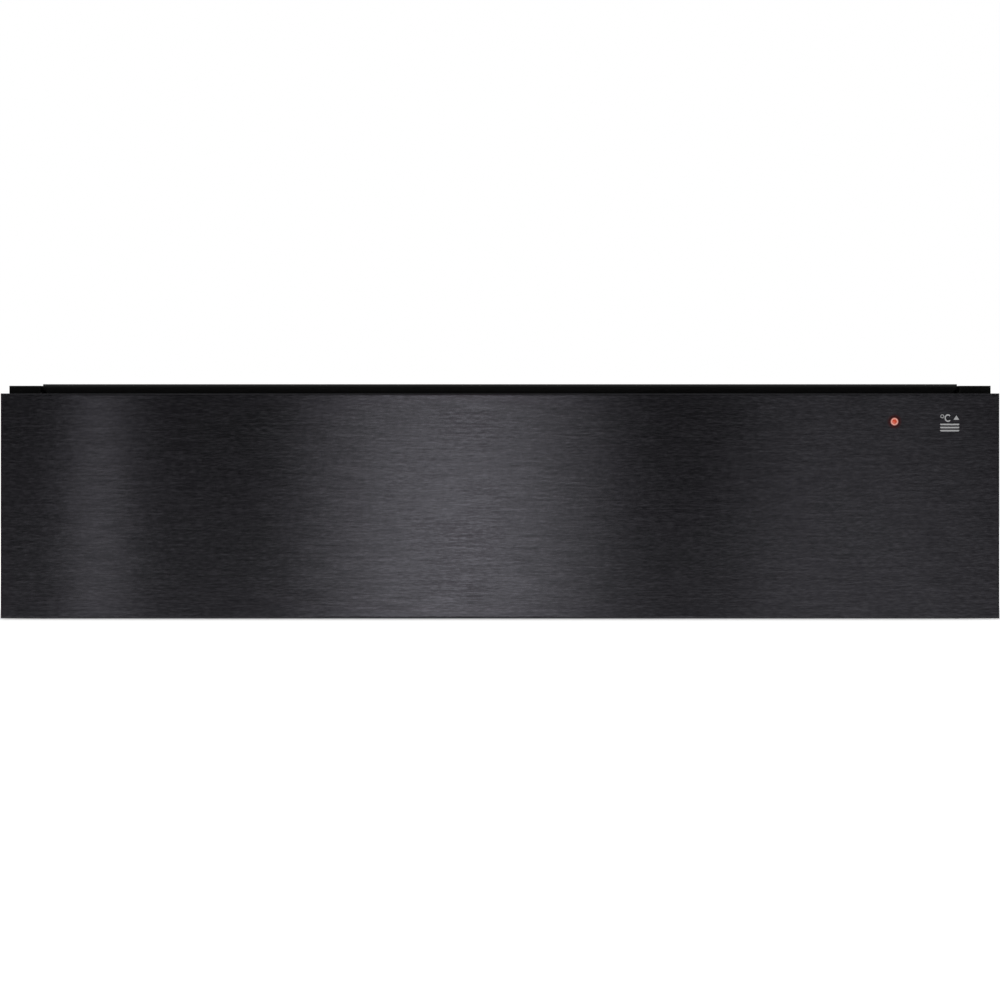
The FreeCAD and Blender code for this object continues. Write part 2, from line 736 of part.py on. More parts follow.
def outer_cage():
    """Retainer of the outer balls: a strip behind the middle member, with arms over its edges."""
    start, places = pocket_places()
    web = SLIDE_OUTER_T + CAGE_GAP + CAGE_T / 2
    arm = OUTER_BALL_V + CAGE_ARM_RISE
    tip = OUTER_BALL_U + OUTER_RACE_R - CAGE_ARM_SHORT
    half = CAGE_T / 2
    outside = block(
        (WALL_IN_X - tip, WALL_IN_X - web + half), (start, start + CAGE_L), centred(SLIDE_Z, 2 * (arm + half))
    )
    inside = block(
        (WALL_IN_X - tip - 1, WALL_IN_X - web - half),
        (start - 1, start + CAGE_L + 1),
        centred(SLIDE_Z, 2 * (arm - half)),
    )
    cage = outside.cut(inside)
    pocket = 2 * (OUTER_BALL_R + CAGE_POCKET_CLEAR)
    across = sorted((WALL_IN_X - tip - 1, WALL_IN_X - OUTER_BALL_U + pocket / 2))
    notches = [
        block(across, centred(y, pocket), centred(SLIDE_Z + side * arm, 2 * CAGE_T))
        for y in places
        for side in (-1, 1)
    ]
    return cut_all(cage, notches)


def inner_cage():
    """Retainer of the inner balls: a flat strip with a notch in its edges at each ball."""
    start, places = pocket_places()
    near = MIDDLE_WEB_U + SLIDE_MIDDLE_T / 2 + CAGE_GAP
    half = INNER_BALL_V + CAGE_GAP
    across = (WALL_IN_X - near - CAGE_T, WALL_IN_X - near)
    strip = block(across, (start, start + CAGE_L), centred(SLIDE_Z, 2 * half))
    pocket = 2 * (INNER_BALL_R + CAGE_POCKET_CLEAR)
    notches = [
        block(
            (across[0] - 1, across[1] + 1),
            centred(y, pocket),
            centred(SLIDE_Z + side * INNER_BALL_V, pocket),
        )
        for y in places
        for side in (-1, 1)
    ]
    return cut_all(strip, notches)


# Push latches


def latch_body():
    """Right push latch on the back wall: a barrel for the plunger on a wide foot."""
    front = BACK_IN_Y - LATCH_L
    body = block(centred(LATCH_X, LATCH_W), (front, BACK_IN_Y), centred(LATCH_Z, LATCH_H))
    foot = block(
        centred(LATCH_X, LATCH_FOOT_W),
        (BACK_IN_Y - LATCH_FOOT_T, BACK_IN_Y),
        centred(LATCH_Z, LATCH_H),
    )
    depth = LATCH_L - LATCH_FLOOR
    room = PLUNGER_W + 2 * PLUNGER_FIT
    barrel = block(centred(LATCH_X, room), (front - 1, front + depth), centred(LATCH_Z, room))
    return cut_all(body.fuse(foot), [barrel])


def latch_plunger():
    """Plunger of the right latch: a square slider in the barrel with a wider magnet at its tip."""
    tip = BOX_BACK_Y + STRIKER_T + LATCH_GAP
    start = tip + MAGNET_L
    magnet = block(centred(LATCH_X, MAGNET_W), (tip, start), centred(LATCH_Z, MAGNET_W))
    stem = block(
        centred(LATCH_X, PLUNGER_W),
        (start, start + LATCH_NECK + PLUNGER_IN),
        centred(LATCH_Z, PLUNGER_W),
    )
    return magnet.fuse(stem).removeSplitter()


def striker_plate():
    """Steel plate on the back of the drawer box that the right latch's magnet holds."""
    return block(
        centred(LATCH_X, STRIKER_W), (BOX_BACK_Y, BOX_BACK_Y + STRIKER_T), centred(LATCH_Z, STRIKER_H)
    )


# Drawer box


def drawer_box():
    """Steel tub with rounded corners, a folded rim on three sides and an opening behind the grille."""
    t = BOX_SHEET
    outer = rounded_block((-BOX_X, BOX_X), (BOX_FRONT_Y, BOX_BACK_Y), (BOX_FLOOR_Z, RIM_Z), BOX_CORNER_R)
    floor = BOX_FLOOR_Z + t
    inner = rounded_block(
        (-BOX_IN_X, BOX_IN_X), (BOX_FRONT_Y + t, BOX_BACK_Y - t), (floor, RIM_Z + 1), BOX_CORNER_R - t
    )
    reach = (-BOX_X - RIM_REACH, BOX_X + RIM_REACH)
    back = BOX_BACK_Y + RIM_REACH
    front = BOX_FRONT_Y - 2 * BOX_CORNER_R
    hem_z = RIM_Z - RIM_HEM
    rim = rounded_block(reach, (front, back), (hem_z, RIM_Z), BOX_CORNER_R + RIM_REACH)
    under = rounded_block(
        (reach[0] + t, reach[1] - t), (front + t, back - t), (hem_z - 1, RIM_Z - t),
        BOX_CORNER_R + RIM_REACH - t,
    )
    ahead = block((reach[0] - 1, reach[1] + 1), (front - 1, BOX_FRONT_Y), (hem_z - 1, RIM_Z + 1))
    rim = rim.cut(under).cut(ahead)
    opening = block(
        centred(0, AIR_W - 2 * AIR_OPENING_MARGIN),
        (BOX_BACK_Y - t - 1, BOX_BACK_Y + 1),
        centred(FAN_Z, AIR_H - 2 * AIR_OPENING_MARGIN),
    )
    return outer.fuse(rim).cut(inner).cut(opening).removeSplitter()


def non_slip_mat():
    """Rubber mat on the drawer's floor."""
    floor = BOX_FLOOR_Z + BOX_SHEET
    return rounded_block(
        (-BOX_IN_X + MAT_MARGIN, BOX_IN_X - MAT_MARGIN),
        (BOX_FRONT_Y + BOX_SHEET + MAT_MARGIN, BOX_BACK_Y - BOX_SHEET - MAT_MARGIN),
        (floor, floor + MAT_T),
        MAT_CORNER_R,
    )


# Front panel


def front_skin():
    """Brushed steel front, folded back on all four sides, with the pilot lamp's hole."""
    z = (PANEL_LIFT, PANEL_TOP_Z)
    skin = block(centred(0, PANEL_W), (FACE_Y, PANEL_BACK_Y), z)
    face = [e for e in skin.Edges if all(abs(v.Y - FACE_Y) < 1e-6 for v in e.Vertexes)]
    skin = skin.makeFillet(SKIN_BEND, face)
    s = SKIN_SHEET
    hollow = block(
        centred(0, PANEL_W - 2 * s), (FACE_Y + s, PANEL_BACK_Y + 1), (z[0] + s, z[1] - s)
    )
    hole = rod(V(LAMP_X, FACE_Y - 1, LAMP_Z), LENS_R + LAMP_FIT, s + 2, V(0, 1, 0))
    return cut_all(skin, [hollow, hole])


def front_tray():
    """Inner tray that closes the back of the front panel and carries the drawer box."""
    gap = SKIN_SHEET + TRAY_CLEAR
    x = (-PANEL_W / 2 + gap, PANEL_W / 2 - gap)
    z = (PANEL_LIFT + gap, PANEL_TOP_Z - gap)
    t = TRAY_SHEET
    tray = block(x, (PANEL_BACK_Y - TRAY_EDGE, PANEL_BACK_Y), z)
    hollow = block(
        (x[0] + t, x[1] - t), (PANEL_BACK_Y - TRAY_EDGE - 1, PANEL_BACK_Y - t), (z[0] + t, z[1] - t)
    )
    return tray.cut(hollow)


def front_pad():
    """Heat shield pad between the skin and the tray, open round the lamp holder."""
    pad = block(
        centred(0, PANEL_W - 2 * PAD_MARGIN),
        (FACE_Y + SKIN_SHEET + PAD_CLEAR, PANEL_BACK_Y - TRAY_SHEET - PAD_CLEAR),
        (PANEL_LIFT + PAD_MARGIN, PANEL_TOP_Z - PAD_MARGIN),
    )
    room = 2 * (LAMP_HOLDER_R + PAD_CLEAR)
    around = block(
        centred(LAMP_X, room), (FACE_Y, PANEL_BACK_Y), (LAMP_Z - room / 2, PANEL_TOP_Z)
    )
    return pad.cut(around)


def lamp_lens():
    """Clear rod that carries the lamp's light through the hole in the skin."""
    return rod(V(LAMP_X, FACE_Y - LENS_PROUD, LAMP_Z), LENS_R, LENS_LENGTH, V(0, 1, 0))


def neon_lamp():
    """Neon lamp behind the lens, with its pinched end towards the tray."""
    start = FACE_Y - LENS_PROUD + LENS_LENGTH
    return rod(V(LAMP_X, start, LAMP_Z), NEON_R, PANEL_BACK_Y - TRAY_SHEET - start, V(0, 1, 0))


def lamp_holder():
    """Square socket between the skin and the tray that holds the lens and the lamp."""
    start = FACE_Y + SKIN_SHEET
    side = 2 * LAMP_HOLDER_R
    end = PANEL_BACK_Y - TRAY_SHEET
    socket = block(centred(LAMP_X, side), (start, end), centred(LAMP_Z, side))
    return socket.cut(rod(V(LAMP_X, start - 1, LAMP_Z), LENS_R, end - start + 2, V(0, 1, 0)))


# Rear air box, heating element and fan


def air_box():
    """Pressed box on the back of the drawer that holds the heating element and the fan."""
    t = AIR_SHEET
    x = centred(0, AIR_W)
    z = centred(FAN_Z, AIR_H)
    shell = block(x, (BOX_BACK_Y, AIR_BACK_Y), z)
    flange = block(
        (x[0] - AIR_FLANGE, x[1] + AIR_FLANGE), (BOX_BACK_Y, BOX_BACK_Y + t), (z[0] - AIR_FLANGE, z[1] + AIR_FLANGE)
    )
    hollow = block((x[0] + t, x[1] - t), (BOX_BACK_Y - 1, AIR_BACK_Y - t), (z[0] + t, z[1] - t))
    shaft = rod(V(0, AIR_BACK_Y - t - 1, FAN_Z), AIR_SHAFT_HOLE_R, t + 2, V(0, 1, 0))
    heater_y = AIR_BACK_Y - HEATER_FROM_BACK
    room = BUSH_W + 2 * BUSH_FIT
    ends = [
        block((x[1] - t - 1, x[1] + 1), centred(heater_y, room), centred(side_z, room))
        for side_z in centred(FAN_Z, 2 * HEATER_SPREAD)
    ]
    clip = block(
        centred(-HEATER_BEND_X - HEATER_SPREAD, CLIP_W),
        (heater_y + HEATER_W / 2 + FIT_GAP, AIR_BACK_Y - t),
        centred(FAN_Z, CLIP_W),
    )
    return shell.fuse(flange).cut(hollow).cut(Part.makeCompound([shaft] + ends)).fuse(clip).removeSplitter()


def heater_end_x():
    """Where the element's legs end, just inside the air box's side wall."""
    return AIR_W / 2 - AIR_SHEET - HEATER_END_IN


def heating_element():
    """Tubular element pressed flat and bent like a hairpin round the fan."""
    front = AIR_BACK_Y - HEATER_FROM_BACK - HEATER_W / 2
    end = heater_end_x()
    turn = -HEATER_BEND_X
    path = [
        ("line", (end, HEATER_SPREAD), (turn, HEATER_SPREAD)),
        ("arc", (turn, 0), HEATER_SPREAD, 90, 270),
        ("line", (turn, -HEATER_SPREAD), (end, -HEATER_SPREAD)),
    ]
    return ribbon(path, HEATER_T, lambda u, v: V(u, front, FAN_Z + v), V(0, HEATER_W, 0))


def heater_terminals():
    """Ceramic bushes in the air box's side wall, each with a flat terminal tab."""
    y = AIR_BACK_Y - HEATER_FROM_BACK
    start = heater_end_x()
    outside = AIR_W / 2 + BUSH_OUT
    pieces = []
    for z in centred(FAN_Z, 2 * HEATER_SPREAD):
        bush = block((start, outside), centred(y, BUSH_W), centred(z, BUSH_W))
        tab = block((outside, outside + TERMINAL_L), centred(y, TERMINAL_W), centred(z, TERMINAL_T))
        pieces.append(bush.fuse(tab).removeSplitter())
    return Part.makeCompound(pieces)


def air_grille():
    """Slotted cover in front of the fan, with a round intake in the middle and outlets at both sides."""
    t = GRILLE_SHEET
    back = BOX_BACK_Y - BOX_SHEET
    x = centred(0, GRILLE_W)
    z = centred(FAN_Z, GRILLE_H)
    cover = block(x, (back - GRILLE_DEPTH, back), z)
    hollow = block((x[0] + t, x[1] - t), (back - GRILLE_DEPTH + t, back + 1), (z[0] + t, z[1] - t))
    through = (back - GRILLE_DEPTH - 1, back - GRILLE_DEPTH + t + 1)
    slots = []
    rows = int(GRILLE_INTAKE_R / GRILLE_PITCH)
    for i in range(-rows, rows + 1):
        width = 2 * math.sqrt(GRILLE_INTAKE_R**2 - (i * GRILLE_PITCH) ** 2)
        slots.append(
            block(centred(0, width), through, centred(FAN_Z + i * GRILLE_PITCH, GRILLE_SLOT))
        )
    for side in (-1, 1):
        for i in range(GRILLE_SIDE_COUNT):
            at = side * (GRILLE_SIDE_X + i * GRILLE_PITCH * 1.25)
            slots.append(block(centred(at, GRILLE_SLOT), through, centred(FAN_Z, GRILLE_SIDE_H)))
    return cut_all(cover.cut(hollow), slots)


def fan_blade(turn):
    """One forward-curved blade between the eye and the edge of the fan wheel."""
    disc_front = AIR_BACK_Y - AIR_SHEET - FAN_BACK_GAP - FAN_DISC_T
    tip = FAN_R - FAN_BLADE_T
    half = (tip - FAN_EYE_R) / 2
    radius = half / math.sin(math.radians(FAN_BLADE_CURVE / 2))
    low = 270 - FAN_BLADE_CURVE / 2
    centre = (FAN_EYE_R + half, math.sqrt(radius**2 - half**2))
    path = [("arc", centre, radius, low, low + FAN_BLADE_CURVE)]
    blade = ribbon(
        path, FAN_BLADE_T, lambda u, v: V(u, disc_front, FAN_Z + v), V(0, -FAN_BLADE_H, 0)
    )
    return blade.rotate(V(0, 0, FAN_Z), V(0, 1, 0), turn)


def fan_wheel():
    """Radial fan wheel: a back disc with curved blades and a hub on the motor shaft."""
    back = AIR_BACK_Y - AIR_SHEET - FAN_BACK_GAP
    disc = rod(V(0, back - FAN_DISC_T, FAN_Z), FAN_R, FAN_DISC_T, V(0, 1, 0))
    hub = rod(V(0, back - FAN_DISC_T - FAN_BLADE_H, FAN_Z), FAN_HUB_R, FAN_BLADE_H, V(0, 1, 0))
    blades = [fan_blade(i * 360 / FAN_BLADES) for i in range(FAN_BLADES)]
    bore = rod(
        V(0, back - FAN_DISC_T - FAN_BLADE_H + FAN_DISC_T, FAN_Z),
        SHAFT_R + FAN_HUB_FIT,
        FAN_BLADE_H + 1,
        V(0, 1, 0),
    )
    return disc.fuse([hub] + blades).cut(bore).removeSplitter()


def motor_rotor():
    """Rotor and its shaft, which reaches forward into the fan's hub."""
    hub_end = AIR_BACK_Y - AIR_SHEET - FAN_BACK_GAP - FAN_BLADE_H
    tail = CORE_Y + CORE_T + BRACKET_T
    shaft = rod(V(0, hub_end, FAN_Z), SHAFT_R, tail - hub_end, V(0, 1, 0))
    rotor = rod(
        V(0, CORE_Y + ROTOR_SHORT, FAN_Z), ROTOR_R, CORE_T - 2 * ROTOR_SHORT, V(0, 1, 0)
    )
    return shaft.fuse(rotor).removeSplitter()


def motor_core():
    """Laminated stator: a frame with the rotor's bore above and a window on each side of the coil's limb."""
    core = block(
        centred(0, CORE_W), (CORE_Y, CORE_Y + CORE_T), (FAN_Z - CORE_BELOW, FAN_Z + CORE_ABOVE)
    )
    bore = rod(V(0, CORE_Y - 1, FAN_Z), ROTOR_R + ROTOR_GAP, CORE_T + 2, V(0, 1, 0))
    window_z = FAN_Z - CORE_BELOW + COIL_LIMB_H
    windows = [
        block(
            (-COIL_L / 2, COIL_L / 2),
            (CORE_Y - 1, CORE_Y + CORE_T + 1),
            (window_z, window_z + COIL_WINDOW_H),
        )
    ]
    return cut_all(core, [bore] + windows)


def motor_coil():
    """Winding round the stator's lower limb."""
    low = FAN_Z - CORE_BELOW
    around = BRACKET_T
    outer = block(
        centred(0, COIL_L - 2 * COIL_FIT),
        (CORE_Y - around + COIL_FIT, CORE_Y + CORE_T + around - COIL_FIT),
        (low - around + COIL_FIT, low + COIL_LIMB_H + around),
    )
    limb = block(
        centred(0, COIL_L + 2),
        (CORE_Y - COIL_FIT, CORE_Y + CORE_T + COIL_FIT),
        (low - COIL_FIT, low + COIL_LIMB_H + COIL_FIT),
    )
    return outer.cut(limb)


def motor_brackets():
    """Two bearing bridges that carry the shaft, in front of and behind the core."""
    pieces = []
    for y in (AIR_BACK_Y, CORE_Y + CORE_T):
        bridge = block(centred(0, BRACKET_W), (y, y + BRACKET_T), centred(FAN_Z, BRACKET_H))
        hole = rod(V(0, y - 1, FAN_Z), SHAFT_R + SHAFT_FIT, BRACKET_T + 2, V(0, 1, 0))
        pieces.append(bridge.cut(hole))
    return Part.makeCompound(pieces)


def thermal_cutout():
    """Round safety thermostat on the back of the air box."""
    centre = V(CUTOUT_X, AIR_BACK_Y, FAN_Z + CUTOUT_UP)
    return rod(centre, CUTOUT_R, CUTOUT_T, V(0, 1, 0))


# Control console


def console_shell():
    """Console over the drawer's right front corner, hollow for the controls and open to the front."""
    x = (CONSOLE_LEFT_X, CONSOLE_RIGHT_X)
    y = (CONSOLE_Y, CONSOLE_Y + CONSOLE_D)
    z = (CONSOLE_TOP_Z - CONSOLE_H, CONSOLE_TOP_Z)
    wall = CONSOLE_WALL
    ahead = 2 * CONSOLE_CORNER_R
    shell = rounded_block(x, (y[0] - ahead, y[1]), z, CONSOLE_CORNER_R)
    hollow = block(
        (x[0] + wall, x[1] - wall), (y[0] - ahead - 1, y[1] - wall), (z[0] + wall, z[1] - wall)
    )
    room = rounded_block(
        (-BOX_IN_X + CONSOLE_SIDE_GAP, BOX_IN_X - CONSOLE_SIDE_GAP),
        (CONSOLE_Y, BOX_BACK_Y - BOX_SHEET),
        (z[0] - 1, z[1] + 1),
        BOX_CORNER_R - BOX_SHEET,
    )
    shell = shell.cut(hollow).common(room)
    over_rim = block(
        x, (PANEL_BACK_Y, CONSOLE_Y + wall), (RIM_Z + FIT_GAP, CONSOLE_TOP_Z)
    )
    top = (CONSOLE_TOP_Z - wall - 1, CONSOLE_TOP_Z + 1)
    shaft = rod(
        V(KNOB_X, CONTROL_Y, top[0]), KNOB_SHAFT_R + SHAFT_HOLE_FIT, top[1] - top[0], V(0, 0, 1)
    )
    switch = block(
        centred(SWITCH_X, SWITCH_W + 2 * FIT_GAP), centred(CONTROL_Y, SWITCH_D + 2 * FIT_GAP), top
    )
    return cut_all(shell.fuse(over_rim), [shaft, switch])


def thermostat_body():
    """Rotary thermostat under the console's top."""
    top = CONSOLE_TOP_Z - CONSOLE_WALL
    return block(
        centred(KNOB_X, THERMOSTAT_W), centred(CONTROL_Y, THERMOSTAT_W), (top - THERMOSTAT_H, top)
    )


def thermostat_shaft():
    """Shaft of the thermostat, which the knob is pushed onto."""
    start = CONSOLE_TOP_Z - CONSOLE_WALL
    end = KNOB_Z + KNOB_SHAFT_IN
    return rod(V(KNOB_X, CONTROL_Y, start), KNOB_SHAFT_R, end - start, V(0, 0, 1))


def thermostat_knob():
    """Low knob: a round skirt, a bar grip that points at the scale and a blind bore for the shaft."""
    centre = V(KNOB_X, CONTROL_Y, KNOB_Z)
    skirt = rod(centre, KNOB_R, KNOB_SKIRT_H, V(0, 0, 1))
    half_w, half_l, top = KNOB_GRIP_W / 2, KNOB_GRIP_L / 2, KNOB_Z + KNOB_SKIRT_H
    outline = [
        V(KNOB_X - half_w, CONTROL_Y - half_l, top),
        V(KNOB_X + half_w, CONTROL_Y - half_l, top),
        V(KNOB_X + half_w, CONTROL_Y + half_l - KNOB_POINT, top),
        V(KNOB_X, CONTROL_Y + half_l, top),
        V(KNOB_X - half_w, CONTROL_Y + half_l - KNOB_POINT, top),
    ]
    grip = prism(outline, V(0, 0, KNOB_H - KNOB_SKIRT_H))
    bore = rod(centre - V(0, 0, 1), KNOB_SHAFT_R + KNOB_SHAFT_FIT, KNOB_SHAFT_IN + 1, V(0, 0, 1))
    return cut_all(skirt.fuse(grip), [bore])


def switch_body():
    """Mains switch: a bezel on the console and a body below it, with a well for the rocker."""
    bezel = block(
        centred(SWITCH_X, SWITCH_W + 2 * SWITCH_BEZEL),
        centred(CONTROL_Y, SWITCH_D + 2 * SWITCH_BEZEL),
        (CONSOLE_TOP_Z, CONSOLE_TOP_Z + SWITCH_BEZEL_T),
    )
    body = block(
        centred(SWITCH_X, SWITCH_W),
        centred(CONTROL_Y, SWITCH_D),
        (CONSOLE_TOP_Z - SWITCH_H, CONSOLE_TOP_Z),
    )
    well = block(
        centred(SWITCH_X, SWITCH_W - 2 * SWITCH_WALL),
        centred(CONTROL_Y, SWITCH_D - 2 * SWITCH_WALL),
        (CONSOLE_TOP_Z - SWITCH_WELL, CONSOLE_TOP_Z + SWITCH_BEZEL_T + 1),
    )
    return bezel.fuse(body).cut(well).removeSplitter()


def switch_rocker():
    """Rocker of the mains switch, shown in its off position."""
    half = (SWITCH_W - 2 * SWITCH_WALL) / 2 - 2 * ROCKER_FIT
    depth = SWITCH_D - 2 * SWITCH_WALL - 2 * ROCKER_FIT
    top = CONSOLE_TOP_Z + SWITCH_BEZEL_T
    crest = top + ROCKER_CREST - ROCKER_RISE
    low = CONSOLE_TOP_Z - SWITCH_WELL + half * math.sin(math.radians(ROCKER_TILT)) + ROCKER_FIT
    front = CONTROL_Y - depth / 2
    outline = [
        V(SWITCH_X - half, front, crest + ROCKER_RISE),
        V(SWITCH_X, front, crest),
        V(SWITCH_X + half, front, crest + ROCKER_RISE),
        V(SWITCH_X + half - ROCKER_TAPER, front, low),
        V(SWITCH_X - half + ROCKER_TAPER, front, low),
    ]
    rocker = prism(outline, V(0, depth, 0))
    return rocker.rotate(V(SWITCH_X, CONTROL_Y, rocker_pivot_z()), V(0, 1, 0), ROCKER_TILT)


def rocker_pivot_z():
    """Height of the rocker's axis."""
    return CONSOLE_TOP_Z


# Screws


def hex_heads(places, direction):
    """Hexagon heads seated at the given places and rising along a direction."""
    radius = SCREW_ACROSS / math.sqrt(3)
    side = V(direction.y, direction.z, direction.x)
    other = direction.cross(side)
    heads = []
    for place in places:
        ring = [
            place + side * (radius * math.cos(a)) + other * (radius * math.sin(a))
            for a in (math.radians(60 * i) for i in range(6))
        ]
        heads.append(prism(ring, direction * SCREW_HEAD_H))
    return heads


def cover_screws():
    """Screws through both side walls into the cover's side lips."""
    z = WALL_TOP_Z - COVER_SIDE_LIP / 2
    heads = []
    for side in (-1, 1):
        x = side * HOUSING_W / 2
        rows = [(i - (COVER_SCREWS - 1) / 2) * COVER_SCREW_PITCH for i in range(COVER_SCREWS)]
        heads += hex_heads([V(x, y, z) for y in rows], V(side, 0, 0))
    return Part.makeCompound(heads)


def back_wall_screws():
    """Screws through the back wall into the side walls' rear flanges."""
    x = HOUSING_W / 2 - SCREW_EDGE
    rows = [(i - (BACK_SCREWS - 1) / 2) * BACK_SCREW_PITCH for i in range(BACK_SCREWS)]
    places = [V(s * x, BACK_Y, WALL_TOP_Z / 2 + row) for s in (-1, 1) for row in rows]
    return Part.makeCompound(hex_heads(places, V(0, 1, 0)))


def panel_screws():
    """Screws from inside the drawer box into the front panel's tray."""
    y = BOX_FRONT_Y + BOX_SHEET
    places = []
    for z in (BOX_FLOOR_Z + PANEL_SCREW_UP, BOX_FLOOR_Z + PANEL_SCREW_UP + PANEL_SCREW_RISE):
        for side in (-1, 1):
            for x in (PANEL_SCREW_X, PANEL_SCREW_X + PANEL_SCREW_PITCH):
                places.append(V(side * x, y, z))
    return Part.makeCompound(hex_heads(places, V(0, 1, 0)))


def latch_screws():
    """Screws through the feet of both latches into the back wall."""
    ear = LATCH_W / 2 + (LATCH_FOOT_W - LATCH_W) / 4
    y = BACK_IN_Y - LATCH_FOOT_T
    places = [V(s * LATCH_X + e * ear, y, LATCH_Z) for s in (-1, 1) for e in (-1, 1)]
    return Part.makeCompound(hex_heads(places, V(0, -1, 0)))


def grille_screws():
    """Screws at the corners of the air grille."""
    y = BOX_BACK_Y - BOX_SHEET - GRILLE_DEPTH
    x = GRILLE_W / 2 - SCREW_EDGE
    z = GRILLE_H / 2 - SCREW_EDGE
    places = [V(i * x, y, FAN_Z + j * z) for i in (-1, 1) for j in (-1, 1)]
    return Part.makeCompound(hex_heads(places, V(0, -1, 0)))


PIECES = {
    "base_tray": base_tray,
    "right_side_wall": side_wall,
    "back_wall": back_wall,
    "top_cover": top_cover,
    "cable_gland": cable_gland,
    "terminal_block": terminal_block,
    "right_slide_outer": slide_outer,
    "right_slide_middle": slide_middle,
    "right_slide_inner": slide_inner,
    "right_outer_ball_cage": outer_cage,
    "right_inner_ball_cage": inner_cage,
    "right_latch_body": latch_body,
    "right_latch_plunger": latch_plunger,
    "right_striker_plate": striker_plate,
    "drawer_box": drawer_box,
    "non_slip_mat": non_slip_mat,
    "front_skin": front_skin,
    "front_tray": front_tray,
    "front_pad": front_pad,
    "lamp_lens": lamp_lens,
    "neon_lamp": neon_lamp,
    "lamp_holder": lamp_holder,
    "air_box": air_box,
    "heating_element": heating_element,
    "heater_terminals": heater_terminals,
    "air_grille": air_grille,
    "fan_wheel": fan_wheel,
    "motor_rotor": motor_rotor,
    "motor_core": motor_core,
    "motor_coil": motor_coil,
    "motor_brackets": motor_brackets,
    "thermal_cutout": thermal_cutout,
    "console_shell": console_shell,
    "thermostat_body": thermostat_body,
    "thermostat_shaft": thermostat_shaft,
    "thermostat_knob": thermostat_knob,
    "switch_body": switch_body,
    "switch_rocker": switch_rocker,
    "cover_screws": cover_screws,
    "back_wall_screws": back_wall_screws,
    "panel_screws": panel_screws,
    "latch_screws": latch_screws,
    "grille_screws": grille_screws,
}

os.makedirs("parts", exist_ok=True)
for name, make in PIECES.items():
    piece = make()
    piece.exportStep(f"parts/{name}.step")
    if name.startswith("right_"):
        mirrored(piece).exportStep(f"parts/{name.replace('right_', 'left_')}.step")
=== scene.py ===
import math

import bmesh
import bpy
from mathutils import Matrix, Vector


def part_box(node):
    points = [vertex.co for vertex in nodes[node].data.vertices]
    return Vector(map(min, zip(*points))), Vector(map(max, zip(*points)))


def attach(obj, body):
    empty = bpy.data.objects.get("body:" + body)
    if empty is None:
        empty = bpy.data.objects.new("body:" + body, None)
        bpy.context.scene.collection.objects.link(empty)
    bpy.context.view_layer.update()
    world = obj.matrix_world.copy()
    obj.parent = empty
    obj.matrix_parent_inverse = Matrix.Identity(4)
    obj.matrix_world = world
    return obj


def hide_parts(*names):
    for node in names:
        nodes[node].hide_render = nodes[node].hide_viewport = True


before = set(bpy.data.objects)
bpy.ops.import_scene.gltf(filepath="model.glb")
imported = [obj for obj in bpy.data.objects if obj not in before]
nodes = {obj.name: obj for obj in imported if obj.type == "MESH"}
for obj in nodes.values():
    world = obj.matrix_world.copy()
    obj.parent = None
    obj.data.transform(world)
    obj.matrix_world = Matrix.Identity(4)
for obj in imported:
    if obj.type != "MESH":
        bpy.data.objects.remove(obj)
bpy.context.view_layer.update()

MM = 0.001
CM = 0.01
FRONT = Vector((0, -1, 0))
UP = Vector((0, 0, 1))
RIGHT = Vector((1, 0, 0))

# Where things are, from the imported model
skin_low, skin_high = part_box("front_skin")
lens_low, lens_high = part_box("lamp_lens")
lamp_at = (lens_low + lens_high) / 2
lens_r = (lens_high.x - lens_low.x) / 2


# Materials: a small node builder, then one function for each finish


